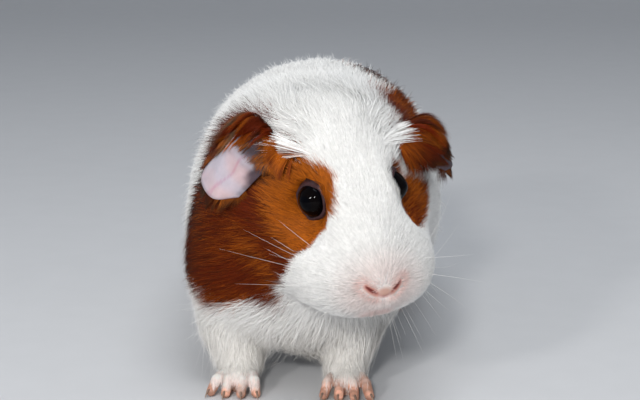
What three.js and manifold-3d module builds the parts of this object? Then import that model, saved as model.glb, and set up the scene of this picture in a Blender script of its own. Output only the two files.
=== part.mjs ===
// A young adult guinea pig with a short smooth coat, standing with its head turned to its left.
// Millimetres, +Z up, nose towards -Y, the animal's left towards +X, soles on z = 0. The outline is
// that of the coat's tips. One smooth field of blended ellipsoids gives the body, neck and head.
import * as THREE from 'three';
import { mergeVertices } from 'three/addons/utils/BufferGeometryUtils.js';
import Module from 'manifold-3d';

const wasm = await Module();
wasm.setup();

// Driving dimensions
const partGap = 0.3; // clearance between neighbouring pieces
const eyeRadius = 5.2;
const eyeHalfSpacing = 10.9; // from the head's middle plane to an eye's centre
const eyeRise = 0.6;
const eyeTurnRight = 57; // degrees from straight ahead to the way an eye looks
const eyeTurnLeft = 64;
const eyeLift = 8; // degrees above the level
const dish = { height: 3, radius: 6, slope: 0.6, curve: 0.06, blend: 2 }; // hollow of short hair round an eye
const lidOpening = 4.7; // radius of the opening between the lids
const lidFlare = 0.55; // how fast that opening widens outwards
const lidDepth = 2.1; // along the way the eye looks, where the opening begins
const flareLength = 14;
const earRootThickness = 1.5;
const earRimThickness = 0.8;
const toeRadius = 1.85;
const toeSpacing = 2.8; // between the roots of neighbouring toes
const toeReach = 7;
const toeRootRise = 1.2; // of a toe's root over the front of the foot
const knuckleHeight = 4.4;
const clawLength = 2.8;
const clawRadius = 0.65;
const legBlend = 4; // over which a leg's lengths run into each other
const farAway = 600; // more than twice the animal's length

// The head's own axes start midway between the eyes: x to its left, y backwards, z up.
const eyeMiddle = new THREE.Vector3(16.2, -22, 65.5);
const headPitch = 19.5; // nose down
const headRoll = -6; // left eye raised
const headYaw = 20.3; // nose to the left

// Flesh and coat, as ellipsoids in the order they are blended. A pair is repeated on the other side.
const headMasses = [
  { name: 'cranium', centre: [0, 22, -2], radii: [20.5, 27, 21], tilt: 0, blend: 0, pair: false },
  { name: 'bridge', centre: [0, -9, -6], radii: [12.5, 23, 12.5], tilt: 24, blend: 10, pair: false },
  { name: 'brow', centre: [6.5, 3, 3.5], radii: [7, 15, 6], tilt: 8, blend: 10, pair: true },
  { name: 'whisker pad', centre: [7.5, -14, -16], radii: [11.5, 13.5, 11], tilt: 8, blend: 10, pair: true },
  { name: 'upper jaw', centre: [7.5, -7, -11], radii: [8.5, 15, 8], tilt: 8, blend: 12, pair: true },
  { name: 'nose tip', centre: [0, -26, -13.5], radii: [6, 5, 5.5], tilt: 0, blend: 8, pair: false },
  { name: 'chin', centre: [0, -13, -22.5], radii: [10, 12, 7], tilt: 0, blend: 8, pair: false },
  { name: 'jowl', centre: [11, 2, -20.5], radii: [12.5, 19, 10.5], tilt: 0, blend: 12, pair: true },
  { name: 'cheek', centre: [12.5, 20, -14], radii: [15, 20, 16], tilt: 0, blend: 12, pair: true },
  { name: 'throat', centre: [0, 16, -22], radii: [20, 24, 14], tilt: 0, blend: 12, pair: false },
];
const bodyMasses = [
  { name: 'chest', centre: [-1, 34, 50], radii: [40, 40, 40], tilt: 0, blend: 0, pair: false },
  { name: 'barrel', centre: [-4, 72, 51.5], radii: [41.5, 54, 40.5], tilt: 0, blend: 20, pair: false },
  { name: 'rump', centre: [-7, 108, 46.5], radii: [38.5, 39, 38.5], tilt: 0, blend: 20, pair: false },
  { name: 'neck', centre: [2, 10, 57], radii: [35, 34, 32], tilt: 0, blend: 18, pair: false },
  { name: 'breast', centre: [0, 8, 35], radii: [29, 25, 23.5], tilt: 0, blend: 16, pair: false },
  { name: 'right shoulder', centre: [-24, 16, 38], radii: [15, 22, 24], tilt: 0, blend: 14, pair: false },
  { name: 'right thigh', centre: [-31, 104, 32], radii: [17, 27, 23], tilt: 0, blend: 16, pair: false },
  { name: 'left thigh', centre: [15, 104, 32], radii: [17, 27, 23], tilt: 0, blend: 16, pair: false },
];
const headBlend = 8;

// Ears as rows of points in the head's axes, front to back, for a left ear before it is turned about
// its root. The right ear is carried higher, with a raised crest.
const earRoot = [[13, 12, 10], [15.5, 17, 9], [17.5, 23, 5], [18, 28, -2]];
const ears = [
  {
    name: 'ear_right',
    side: -1,
    droop: -9,
    crest: [[20.2, 11.5, 7.1], [25, 17, 13], [26.5, 25, 12.8], [26, 31, 6.5]],
    rim: [[28.3, 14.6, -5.8], [35, 18, -8], [37, 26, -6.5], [33.5, 33, -4]],
  },
  {
    name: 'ear_left',
    side: 1,
    droop: 7,
    crest: [[21.8, 12, 4.5], [28, 17, 8.8], [30.5, 25, 6.3], [29.5, 31, -1]],
    rim: [[35.5, 15.5, -5], [39, 19, -5.6], [41, 26, -7], [39.5, 32, -6.4]],
  },
];

// Each leg runs from inside the body to the foot: points as x, y, z and radius.
const legs = [
  { name: 'fore_right', leg: [[-22, 8, 34, 15], [-22.5, 5, 20, 11.3], [-21, 1, 9, 7.2]],
    foot: [[-20.5, 0.5, 7.5, 5.4], [-20.5, -7, 3.8, 4]], toes: [-27, -10, 5, 19] },
  { name: 'fore_left', leg: [[17, 6, 34, 13], [13.5, 3, 20, 9], [11.5, 0, 9, 6]],
    foot: [[11.5, 0.5, 7.5, 5.1], [13, -7, 3.8, 4]], toes: [-18, -3, 12, 28] },
  { name: 'hind_right', leg: [[-31, 108, 34, 17], [-33, 108, 20, 12], [-34, 110, 9.5, 7]],
    foot: [[-34, 114, 4.6, 5.2], [-36, 92, 3.6, 4.2]], toes: [-16, 0, 16] },
  { name: 'hind_left', leg: [[14, 108, 34, 17], [15, 108, 20, 12], [15.5, 110, 9.5, 7]],
    foot: [[15.5, 114, 4.6, 5.2], [18, 92, 3.6, 4.2]], toes: [-16, 0, 16] },
];

const headTurn = new THREE.Euler(
  THREE.MathUtils.degToRad(headPitch), THREE.MathUtils.degToRad(headRoll),
  THREE.MathUtils.degToRad(headYaw), 'ZYX');
const headMatrix = new THREE.Matrix4().makeRotationFromEuler(headTurn).setPosition(eyeMiddle);
const headInverse = headMatrix.clone().invert();

function inHead(x, y, z) {
  return new THREE.Vector3(x, y, z).applyMatrix4(headMatrix);
}

function headWay(x, y, z) {
  return new THREE.Vector3(x, y, z).transformDirection(headMatrix);
}

// Smaller of two distances, with their meeting rounded over a width of k.
function blendMin(a, b, k) {
  const overlap = k > 0 ? Math.max(k - Math.abs(a - b), 0) / k : 0;
  return Math.min(a, b) - overlap ** 3 * k / 6;
}

// Distance to an ellipsoid, good near its surface. The tilt lowers its front, as the nose is lowered.
function ellipsoidDistance(p, centre, radii, tilt) {
  const c = Math.cos(THREE.MathUtils.degToRad(tilt));
  const s = Math.sin(THREE.MathUtils.degToRad(tilt));
  const dy = p.y - centre[1];
  const dz = p.z - centre[2];
  const q = new THREE.Vector3(p.x - centre[0], c * dy + s * dz, c * dz - s * dy);
  const r = new THREE.Vector3(...radii);
  const near = q.divide(r).length();
  return near * (near - 1) / (q.divide(r).length() + 1e-9);
}

function massesDistance(p, masses) {
  let distance = Infinity;
  for (const mass of masses) {
    const sides = mass.pair ? [1, -1] : [1];
    for (const side of sides) {
      const centre = [mass.centre[0] * side, mass.centre[1], mass.centre[2]];
      const own = ellipsoidDistance(p, centre, mass.radii, mass.tilt);
      distance = distance === Infinity ? own : blendMin(distance, own, mass.blend);
    }
  }
  return distance;
}

function eyeCentre(side) {
  return inHead(side * eyeHalfSpacing, 0, eyeRise);
}

// The way an eye looks, outwards and a little up.
function eyeWay(side) {
  const turn = THREE.MathUtils.degToRad(side < 0 ? eyeTurnRight : eyeTurnLeft);
  const lift = THREE.MathUtils.degToRad(eyeLift);
  return headWay(side * Math.sin(turn) * Math.cos(lift), -Math.cos(turn) * Math.cos(lift), Math.sin(lift));
}

const eyes = [1, -1].map((side) => ({ side, centre: eyeCentre(side), way: eyeWay(side) }));

// Positive above the hollow round each eye, whose height grows with the distance from the lids.
function dishField(p) {
  let distance = -Infinity;
  for (const { centre, way } of eyes) {
    const out = p.clone().sub(centre);
    const ahead = out.dot(way);
    const beyond = Math.max(Math.sqrt(Math.max(out.lengthSq() - ahead ** 2, 0)) - dish.radius, 0);
    const height = dish.height + dish.slope * beyond + dish.curve * beyond ** 2;
    distance = Math.max(distance, (ahead - height) * 0.8);
  }
  return distance;
}

function bodyField(p) {
  const inHeadAxes = p.clone().applyMatrix4(headInverse);
  const whole = blendMin(massesDistance(p, bodyMasses), massesDistance(inHeadAxes, headMasses), headBlend);
  return -blendMin(-whole, -dishField(p), dish.blend);
}

// Distance to a chain of cones with round ends.
function chainField(chain) {
  const points = chain.map(([x, y, z]) => new THREE.Vector3(x, y, z));
  return (p) => {
    let distance = Infinity;
    for (let i = 0; i + 1 < chain.length; i += 1) {
      const along = points[i + 1].clone().sub(points[i]);
      const share = p.clone().sub(points[i]).dot(along) / along.lengthSq();
      const t = THREE.MathUtils.clamp(share, 0, 1);
      const own = p.distanceTo(points[i].clone().addScaledVector(along, t))
        - THREE.MathUtils.lerp(chain[i][3], chain[i + 1][3], t);
      distance = distance === Infinity ? own : blendMin(distance, own, legBlend);
    }
    return distance;
  };
}

// How far a ray from inside the field runs before it comes out: coarse steps, then halving.
function rayLength(field, origin, way) {
  const stride = 1.5;
  const halvings = 10;
  let low = 0;
  while (low < farAway / 4 && field(origin.clone().addScaledVector(way, low + stride)) < 0) low += stride;
  let high = low + stride;
  for (let i = 0; i < halvings; i += 1) {
    const middle = (low + high) / 2;
    if (field(origin.clone().addScaledVector(way, middle)) < 0) low = middle;
    else high = middle;
  }
  return (low + high) / 2;
}

// The mesh of some points and triangles, turned inside out if its faces would point inwards.
function facingOut(points, index) {
  let volume = 0;
  for (let i = 0; i < index.length; i += 3) {
    const [a, b, c] = [points[index[i]], points[index[i + 1]], points[index[i + 2]]];
    volume += a.dot(b.clone().cross(c));
  }
  if (volume < 0) index.reverse();
  return new THREE.BufferGeometry().setFromPoints(points).setIndex(index);
}

// A closed mesh from rows of points round a path, with one point at each end.
function closedRows(first, rows, last) {
  const spokes = rows[0].length;
  const points = [first, ...rows.flat(), last];
  const index = [];
  for (let j = 0; j < spokes; j += 1) {
    const k = (j + 1) % spokes;
    const end = 1 + (rows.length - 1) * spokes;
    index.push(0, 1 + j, 1 + k);
    index.push(points.length - 1, end + k, end + j);
    for (let i = 0; i + 1 < rows.length; i += 1) {
      const a = 1 + i * spokes;
      const b = a + spokes;
      index.push(a + j, b + j, b + k, a + j, b + k, a + k);
    }
  }
  return facingOut(points, index);
}

// The field's surface round a stretch of a path, as rings of rays square to it. A free end gets a
// dome of rays and a cut end is flat.
function wrap(field, path, options) {
  const { from, to, rings, spokes, upright, domeFrom = 0, domeTo = 0 } = options;
  const row = (t, rise) => {
    const origin = path.getPointAt(t);
    const ahead = path.getTangentAt(t);
    const aside = ahead.clone().cross(upright).normalize();
    const above = aside.clone().cross(ahead);
    return Array.from({ length: spokes }, (_, j) => {
      const angle = 2 * Math.PI * j / spokes;
      const way = aside.clone().multiplyScalar(Math.cos(angle) * Math.cos(rise))
        .addScaledVector(above, Math.sin(angle) * Math.cos(rise))
        .addScaledVector(ahead, Math.sin(rise));
      return origin.clone().addScaledVector(way, rayLength(field, origin, way));
    });
  };
  const pole = (t, sign, dome) => {
    const origin = path.getPointAt(t);
    if (!dome) return origin;
    const way = path.getTangentAt(t).multiplyScalar(sign);
    return origin.clone().addScaledVector(way, rayLength(field, origin, way));
  };
  const rows = [];
  for (let i = domeFrom; i > 0; i -= 1) rows.push(row(from, -Math.PI / 2 * i / (domeFrom + 1)));
  for (let i = 0; i <= rings; i += 1) rows.push(row(from + (to - from) * i / rings, 0));
  for (let i = 1; i <= domeTo; i += 1) rows.push(row(to, Math.PI / 2 * i / (domeTo + 1)));
  return closedRows(pole(from, -1, domeFrom), rows, pole(to, 1, domeTo));
}

function toSolid(geometry) {
  const bare = new THREE.BufferGeometry();
  bare.setAttribute('position', geometry.getAttribute('position'));
  bare.setIndex(geometry.getIndex());
  const merged = mergeVertices(bare, 1e-4);
  return new wasm.Manifold(new wasm.Mesh({
    numProp: 3,
    vertProperties: new Float32Array(merged.getAttribute('position').array),
    triVerts: new Uint32Array(merged.getIndex().array),
  }));
}

// The largest of a solid's separate pieces, without the crumbs that a cut can leave.
function toGeometry(solid) {
  const pieces = solid.decompose().sort((a, b) => b.volume() - a.volume());
  const mesh = pieces[0].getMesh();
  const geometry = new THREE.BufferGeometry();
  geometry.setAttribute('position', new THREE.BufferAttribute(new Float32Array(mesh.vertProperties), 3));
  geometry.setIndex(new THREE.BufferAttribute(new Uint32Array(mesh.triVerts), 1));
  return geometry;
}

// All the space on one side of a plane, as a block far larger than the animal.
function halfSpace(point, normal, shift = 0) {
  const size = farAway;
  const block = new THREE.BoxGeometry(size, size, size).translate(0, 0, size / 2 + shift);
  block.applyQuaternion(new THREE.Quaternion().setFromUnitVectors(new THREE.Vector3(0, 0, 1), normal));
  return toSolid(block.translate(point.x, point.y, point.z));
}

// A ball or egg in the head's axes.
function ball(centre, radii, segments = 16) {
  const sphere = new THREE.SphereGeometry(1, segments, Math.round(segments * 0.6)).scale(...radii);
  sphere.applyMatrix4(new THREE.Matrix4().makeRotationFromEuler(headTurn));
  return sphere.translate(centre.x, centre.y, centre.z);
}

// A tapered rod with round ends, turned about its own axis and laid from a to b.
function rod(a, b, radiusA, radiusB, sides = 6) {
  const length = a.distanceTo(b);
  const capSteps = 2;
  const profile = [];
  for (let i = 0; i <= capSteps; i += 1) {
    const angle = Math.PI / 2 * i / capSteps;
    profile.push(new THREE.Vector2(radiusA * Math.sin(angle), -radiusA * Math.cos(angle)));
  }
  for (let i = 0; i <= capSteps; i += 1) {
    const angle = Math.PI / 2 * i / capSteps;
    profile.push(new THREE.Vector2(radiusB * Math.cos(angle), length + radiusB * Math.sin(angle)));
  }
  profile[0].x = 0;
  profile.at(-1).x = 0;
  const geometry = new THREE.LatheGeometry(profile, sides);
  const way = b.clone().sub(a).normalize();
  geometry.applyQuaternion(new THREE.Quaternion().setFromUnitVectors(new THREE.Vector3(0, 1, 0), way));
  return geometry.translate(a.x, a.y, a.z);
}

const white = new THREE.MeshStandardMaterial({ color: 0xece7df, roughness: 0.9, metalness: 0 });
const ginger = new THREE.MeshStandardMaterial({ color: 0x9c4f1d, roughness: 0.9, metalness: 0 });
const noseSkin = new THREE.MeshStandardMaterial({ color: 0xdf9f96, roughness: 0.6, metalness: 0 });
const footSkin = new THREE.MeshStandardMaterial({ color: 0xd39a80, roughness: 0.7, metalness: 0 });
const eyeBlack = new THREE.MeshStandardMaterial({ color: 0x0c0808, roughness: 0.1, metalness: 0 });
const horn = new THREE.MeshStandardMaterial({ color: 0x8a7364, roughness: 0.5, metalness: 0 });

const animal = new THREE.Group();

function addMesh(name, geometry, material) {
  const mesh = new THREE.Mesh(geometry, material);
  mesh.name = name;
  animal.add(mesh);
}

const up = new THREE.Vector3(0, 0, 1);
const spine = new THREE.CatmullRomCurve3([
  new THREE.Vector3(-7, 110, 46), new THREE.Vector3(-4, 74, 49),
  new THREE.Vector3(-1, 38, 51), new THREE.Vector3(2, 9, 51),
]);
const skull = new THREE.CatmullRomCurve3([
  inHead(0, 38, -6), inHead(0, 24, -5), inHead(0, 4, -7), inHead(0, -17, -11),
]);

// The head is what lies ahead of the nape and above the throat.
const napePoint = inHead(0, 25, 0);
const napeWay = headWay(0, -1, 0);
const throatPoint = new THREE.Vector3(12, -17, 33);
const throatWay = new THREE.Vector3(0.13, -0.5, 0.855).normalize();
const headSide = halfSpace(napePoint, napeWay).intersect(halfSpace(throatPoint, throatWay));
const headSideWide = halfSpace(napePoint, napeWay, -partGap)
  .intersect(halfSpace(throatPoint, throatWay, -partGap));

// Rump, barrel, shoulders and neck: lengths of one wrapped body, with a gap between them.
function makeBody() {
  const lengths = [
    { name: 'rump', from: 0, to: 0.3, rings: 4, domeFrom: 5 },
    { name: 'barrel', from: 0.3, to: 0.62, rings: 4 },
    { name: 'shoulders', from: 0.62, to: 0.86, rings: 4 },
    { name: 'neck', from: 0.86, to: 1, rings: 3, domeTo: 6 },
  ];
  const gapShare = partGap / spine.getLength();
  for (const { name, from, to, ...rest } of lengths) {
    const start = from > 0 ? from + gapShare : 0;
    const shell = wrap(bodyField, spine, { from: start, to, spokes: 28, upright: up, ...rest });
    addMesh(name, toGeometry(toSolid(shell).subtract(headSideWide)), white);
  }
}

// The whole outline of body and head, grown by a margin, to cut legs and ears back to it.
function bodyOutline(margin) {
  const grown = (p) => bodyField(p) - margin;
  const trunk = wrap(grown, spine,
    { from: 0, to: 1, rings: 14, spokes: 28, upright: up, domeFrom: 5, domeTo: 6 });
  return toSolid(trunk).subtract(headSide).add(headOutline(margin));
}

function headOutline(margin) {
  const grown = (p) => bodyField(p) - margin;
  const shell = wrap(grown, skull, { from: 0, to: 1, rings: 11, spokes: 26, upright: up, domeTo: 6 });
  return toSolid(shell).intersect(headSide);
}

// The socket: room for the eyeball, and a cone that opens it to the outside.
function socket({ centre, way }) {
  const room = eyeRadius + partGap;
  const mouth = lidOpening + lidFlare * flareLength;
  const cone = new THREE.CylinderGeometry(mouth, lidOpening, flareLength, 18);
  cone.translate(0, flareLength / 2 + lidDepth, 0);
  cone.applyQuaternion(new THREE.Quaternion().setFromUnitVectors(new THREE.Vector3(0, 1, 0), way));
  cone.translate(centre.x, centre.y, centre.z);
  return toSolid(ball(centre, [room, room, room])).add(toSolid(cone));
}

// Head, muzzle, lower jaw and nose: one wrapped shape parted by planes, with the sockets cut in.
function makeHead() {
  const whole = headOutline(0).subtract(socket(eyes[0])).subtract(socket(eyes[1]));
  const muzzlePoint = inHead(0, -8, 0);
  const muzzleWay = headWay(0, -1, 0);
  const mouthPoint = inHead(0, -26, -20.5);
  const mouthWay = headWay(0, -0.1, -1);
  const nosePoint = inHead(0, -30.5, -12.3);
  const noseRadii = [5.2, 4.4, 3.9];
  const nosePad = toSolid(ball(nosePoint, noseRadii));
  const noseRoom = toSolid(ball(nosePoint, noseRadii.map((radius) => radius + partGap)));
  const front = whole.intersect(halfSpace(muzzlePoint, muzzleWay, partGap));
  addMesh('head', toGeometry(whole.subtract(halfSpace(muzzlePoint, muzzleWay))), white);
  addMesh('muzzle', toGeometry(front.subtract(halfSpace(mouthPoint, mouthWay)).subtract(noseRoom)), white);
  addMesh('lower_jaw', toGeometry(front.intersect(halfSpace(mouthPoint, mouthWay, partGap))), white);
  addMesh('nose', toGeometry(front.intersect(nosePad)), noseSkin);
  for (const { side, centre } of eyes) {
    const eyeball = ball(centre, [eyeRadius, eyeRadius, eyeRadius], 16);
    addMesh(side < 0 ? 'eye_right' : 'eye_left', eyeball, eyeBlack);
  }
}

// A closed sheet: a curved face with its given thickness laid half on each side of it.
function sheet(point, thickness, columns, lines) {
  const e = 0.02;
  const side = (u, v, sign) => {
    const alongU = point(Math.min(u + e, 1), v).sub(point(Math.max(u - e, 0), v));
    const alongV = point(u, Math.min(v + e, 1)).sub(point(u, Math.max(v - e, 0)));
    const normal = alongU.cross(alongV).normalize();
    return point(u, v).addScaledVector(normal, sign * thickness(u) / 2);
  };
  const points = [];
  for (const sign of [1, -1]) {
    for (let i = 0; i <= columns; i += 1) {
      for (let j = 0; j <= lines; j += 1) points.push(side(i / columns, j / lines, sign));
    }
  }
  const at = (i, j, layer) => (layer * (columns + 1) + i) * (lines + 1) + j;
  const index = [];
  const quad = (a, b, c, d) => index.push(a, b, c, a, c, d);
  for (let i = 0; i < columns; i += 1) {
    for (let j = 0; j < lines; j += 1) {
      quad(at(i, j, 0), at(i + 1, j, 0), at(i + 1, j + 1, 0), at(i, j + 1, 0));
      quad(at(i, j, 1), at(i, j + 1, 1), at(i + 1, j + 1, 1), at(i + 1, j, 1));
    }
    quad(at(i, 0, 1), at(i + 1, 0, 1), at(i + 1, 0, 0), at(i, 0, 0));
    quad(at(i, lines, 0), at(i + 1, lines, 0), at(i + 1, lines, 1), at(i, lines, 1));
  }
  for (let j = 0; j < lines; j += 1) {
    quad(at(0, j, 0), at(0, j + 1, 0), at(0, j + 1, 1), at(0, j, 1));
    quad(at(columns, j, 1), at(columns, j + 1, 1), at(columns, j + 1, 0), at(columns, j, 0));
  }
  return facingOut(points, index);
}

// An ear: a petal that springs outwards from its root and hangs. Each line from root to rim is a
// smooth curve through root, crest and rim.
function makeEar({ name, side, droop, crest, rim }, outline) {
  const root = new THREE.Vector3(18, 18, 8);
  const turn = THREE.MathUtils.degToRad(droop);
  const lines = [earRoot, crest, rim].map((line) => new THREE.CatmullRomCurve3(line.map(([x, y, z]) => {
    const p = new THREE.Vector3(x, y, z).sub(root);
    p.applyAxisAngle(new THREE.Vector3(0, 1, 0), turn).add(root);
    return inHead(p.x * side, p.y, p.z);
  })));
  const point = (u, v) => new THREE.CatmullRomCurve3(lines.map((line) => line.getPoint(v))).getPoint(u);
  const thickness = (u) => THREE.MathUtils.lerp(earRootThickness, earRimThickness, u);
  const ear = sheet(point, thickness, 7, 8);
  addMesh(name, toGeometry(toSolid(ear).subtract(outline)), ginger);
}

// One leg: what shows of it below the body, its foot with fanned toes, and a claw on each toe.
function makeLeg({ name, leg, foot, toes }, outline) {
  const wrist = new THREE.Vector3(...leg.at(-1));
  const path = new THREE.CatmullRomCurve3(leg.map(([x, y, z]) => new THREE.Vector3(x, y, z)));
  const ankleWay = path.getTangentAt(1);
  const ground = halfSpace(new THREE.Vector3(0, 0, 0), up);
  const shank = wrap(chainField(leg), path,
    { from: 0, to: 1, rings: 5, spokes: 14, upright: new THREE.Vector3(0, -1, 0) });
  addMesh(`${name}_leg`, toGeometry(toSolid(shank).subtract(outline).intersect(ground)), white);
  const [heel, front] = foot.map(([x, y, z]) => new THREE.Vector3(x, y, z));
  let paw = toSolid(rod(heel, front, foot[0][3], foot[1][3], 9));
  toes.forEach((turn, i) => {
    const angle = THREE.MathUtils.degToRad(turn);
    const way = new THREE.Vector3(Math.sin(angle), -Math.cos(angle), 0);
    const spread = (i - (toes.length - 1) / 2) * toeSpacing;
    const root = front.clone().add(new THREE.Vector3(spread, 1.5, toeRootRise));
    const middle = Math.abs(i - (toes.length - 1) / 2) < 1;
    const knuckle = root.clone().addScaledVector(way, toeReach * 0.55).setZ(knuckleHeight);
    const tip = root.clone().addScaledVector(way, toeReach * (middle ? 1.1 : 1)).setZ(toeRadius * 0.78);
    const toe = toSolid(rod(root, knuckle, toeRadius * 1.15, toeRadius))
      .add(toSolid(rod(knuckle, tip, toeRadius, toeRadius * 0.85)));
    paw = paw.add(toe);
    const clawRoot = tip.clone().addScaledVector(way, toeRadius * 0.2).add(new THREE.Vector3(0, 0, 0.5));
    const clawTip = clawRoot.clone().addScaledVector(way, clawLength).setZ(clawRadius * 0.7);
    const claw = toSolid(rod(clawRoot, clawTip, clawRadius, clawRadius * 0.35, 5));
    const room = toSolid(rod(knuckle, tip, toeRadius + partGap, toeRadius * 0.85 + partGap));
    addMesh(`${name}_claw_${i + 1}`, toGeometry(claw.subtract(room).intersect(ground)), horn);
  });
  const ankle = halfSpace(wrist, ankleWay, partGap);
  addMesh(`${name}_foot`, toGeometry(paw.intersect(ground).intersect(ankle).subtract(outline)), footSkin);
}

makeBody();
makeHead();
const outline = bodyOutline(partGap);
for (const ear of ears) makeEar(ear, outline);
for (const leg of legs) makeLeg(leg, outline);

// The origin is the middle of the bounding box, at the level of the soles.
const bounds = new THREE.Box3().setFromObject(animal);
const middle = bounds.getCenter(new THREE.Vector3());
animal.position.set(-middle.x, -middle.y, -bounds.min.z);
animal.updateMatrixWorld(true);

export default animal;
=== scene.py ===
import math

import bpy
import numpy as np
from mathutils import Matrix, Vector


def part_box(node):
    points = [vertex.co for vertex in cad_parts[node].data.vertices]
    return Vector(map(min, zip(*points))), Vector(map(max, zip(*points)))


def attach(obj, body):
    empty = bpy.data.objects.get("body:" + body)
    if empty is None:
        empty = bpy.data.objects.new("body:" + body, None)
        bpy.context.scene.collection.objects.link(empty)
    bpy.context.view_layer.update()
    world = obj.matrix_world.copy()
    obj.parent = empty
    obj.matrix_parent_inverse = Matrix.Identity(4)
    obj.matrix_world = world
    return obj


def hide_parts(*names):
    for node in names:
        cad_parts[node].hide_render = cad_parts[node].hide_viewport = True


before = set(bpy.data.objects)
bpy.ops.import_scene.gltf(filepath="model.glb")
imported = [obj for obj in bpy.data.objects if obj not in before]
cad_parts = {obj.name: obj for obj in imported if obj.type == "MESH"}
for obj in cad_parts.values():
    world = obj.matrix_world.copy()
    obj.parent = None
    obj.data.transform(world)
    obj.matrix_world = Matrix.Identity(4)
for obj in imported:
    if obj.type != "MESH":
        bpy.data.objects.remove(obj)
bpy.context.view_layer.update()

# Lengths below are millimetres in the animal's own axes: x to its left, y from nose to tail, z up from
# the soles. Head axes start midway between the eyes, with x to the left, y backwards and z up.

headPose = {
    "eyeMiddle": (16.2, -22, 65.5),
    "pitch": 19.5,  # degrees, nose down
    "roll": -6,  # left eye raised
    "yaw": 20.3,  # nose to the left
}
eye = {
    "radius": 5.2,
    "halfSpacing": 10.9,
    "rise": 0.6,
    "turn": {-1: 57, 1: 64},  # degrees from straight ahead to the way an eye looks
    "lift": 8,
    "opening": 4.7,  # radius of the gap between the lids
}


def turned(pitch, roll, yaw):
    # rotation about x, then y, then z, as one matrix whose columns are the turned axes
    a, b, c = np.radians([pitch, roll, yaw])
    aboutX = np.array([[1, 0, 0], [0, math.cos(a), -math.sin(a)], [0, math.sin(a), math.cos(a)]])
    aboutY = np.array([[math.cos(b), 0, math.sin(b)], [0, 1, 0], [-math.sin(b), 0, math.cos(b)]])
    aboutZ = np.array([[math.cos(c), -math.sin(c), 0], [math.sin(c), math.cos(c), 0], [0, 0, 1]])
    return aboutZ @ aboutY @ aboutX


headAxes = turned(headPose["pitch"], headPose["roll"], headPose["yaw"])
eyeMiddle = np.array(headPose["eyeMiddle"], float)


def fromHead(points):
    # from head axes to the animal's
    return np.asarray(points, float) @ headAxes.T + eyeMiddle


def toHead(points):
    # from the animal's axes to the head's
    return (points - eyeMiddle) @ headAxes


def headWay(way):
    # a direction given in head axes
    return np.asarray(way, float) @ headAxes.T


def eyeCentre(side):
    # side is -1 on the animal's right and 1 on its left, here and below
    return fromHead([side * eye["halfSpacing"], 0, eye["rise"]])


def eyeWay(side):
    # the way an eye looks: turned outwards from straight ahead, and a little up
    turn, lift = math.radians(eye["turn"][side]), math.radians(eye["lift"])
    ahead = math.cos(turn) * math.cos(lift)
    return headWay([side * math.sin(turn) * math.cos(lift), -ahead, math.sin(lift)])


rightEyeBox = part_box("eye_right")
rowShift = np.array((rightEyeBox[0] + rightEyeBox[1]) / 2) * 1000 - eyeCentre(-1)


def inFrame(points):
    # from the animal's millimetres to the frame's metres
    return (points + rowShift) / 1000


def smoothStep(low, high, value):
    # 0 below low, 1 above high, and an S between them
    t = np.clip((value - low) / (high - low), 0, 1)
    return t * t * (3 - 2 * t)


def unit(vectors):
    # each vector divided by its length
    return vectors / np.maximum(np.linalg.norm(vectors, axis=-1, keepdims=True), 1e-9)


def across(vectors, normals):
    # what is left of each vector once its part along the normal is taken away
    return vectors - np.sum(vectors * normals, -1, keepdims=True) * normals


def mix(a, b, share):
    # a where the share is 0, b where it is 1
    return a * (1 - share) + b * share


def between(pair, share):
    # from the first value of a pair to its second
    return pair[0] + (pair[1] - pair[0]) * share


def gapTo(points, centre, radii=1):
    # how far each point lies from a centre, counted in radii
    return np.linalg.norm((points - centre) / radii, axis=1)


def rowsOf(*parts):
    # vectors from their parts, each a number or one value for every row
    return np.stack(np.broadcast_arrays(*parts), 1)


# the form is made of rounded masses that run into each other; each has a centre, radii, tilt in degrees
# about x, blend, and depth of coat over the skin, and pairs are mirrored
headMasses = [
    {"centre": (0, 22, -2), "radii": (20.5, 27, 21), "coat": 3.6},  # cranium
    {"centre": (0, -9, -6), "radii": (12.5, 23, 12.5), "tilt": 24, "blend": 10, "coat": 1.5},  # bridge
    {"centre": (6.5, 3, 3.5), "radii": (7, 15, 6), "tilt": 8, "blend": 10, "pair": True, "coat": 2},  # brow
    {"centre": (7.5, -14, -16), "radii": (11.5, 13.5, 11), "tilt": 8, "blend": 10, "pair": True, "coat": 1.6},
    {"centre": (7.5, -7, -11), "radii": (8.5, 15, 8), "tilt": 8, "blend": 12, "pair": True, "coat": 1.6},
    {"centre": (0, -26, -13.5), "radii": (6, 5, 5.5), "blend": 8, "coat": 0.35},  # tip of the nose
    {"centre": (0, -13, -22.5), "radii": (10, 12, 7), "blend": 8, "coat": 1.6},  # chin
    {"centre": (11, 2, -20.5), "radii": (12.5, 19, 10.5), "blend": 12, "pair": True, "coat": 2.8},  # jowl
    {"centre": (12.5, 20, -14), "radii": (15, 20, 16), "blend": 12, "pair": True, "coat": 3.6},  # cheek
    {"centre": (0, 16, -22), "radii": (20, 24, 14), "blend": 12, "coat": 4},  # throat
]
bodyMasses = [
    {"centre": (-1, 34, 50), "radii": (40, 40, 40), "coat": 5},  # chest
    {"centre": (-4, 72, 51.5), "radii": (41.5, 54, 40.5), "blend": 20, "coat": 5.5},  # barrel
    {"centre": (-7, 108, 46.5), "radii": (38.5, 39, 38.5), "blend": 20, "coat": 5.5},  # rump
    {"centre": (2, 10, 57), "radii": (35, 34, 32), "blend": 18, "coat": 5},  # neck
    {"centre": (0, 8, 35), "radii": (29, 25, 23.5), "blend": 16, "coat": 5},  # breast
    {"centre": (-24, 16, 38), "radii": (15, 22, 24), "blend": 14, "coat": 5},  # right shoulder
    {"centre": (-31, 104, 32), "radii": (17, 27, 23), "blend": 16, "coat": 4.5},  # right thigh
    {"centre": (15, 104, 32), "radii": (17, 27, 23), "blend": 16, "coat": 4.5},  # left thigh
]
headBlend = 8
legBlend = 6
legTop = 44  # legs change nothing above this height
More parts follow.
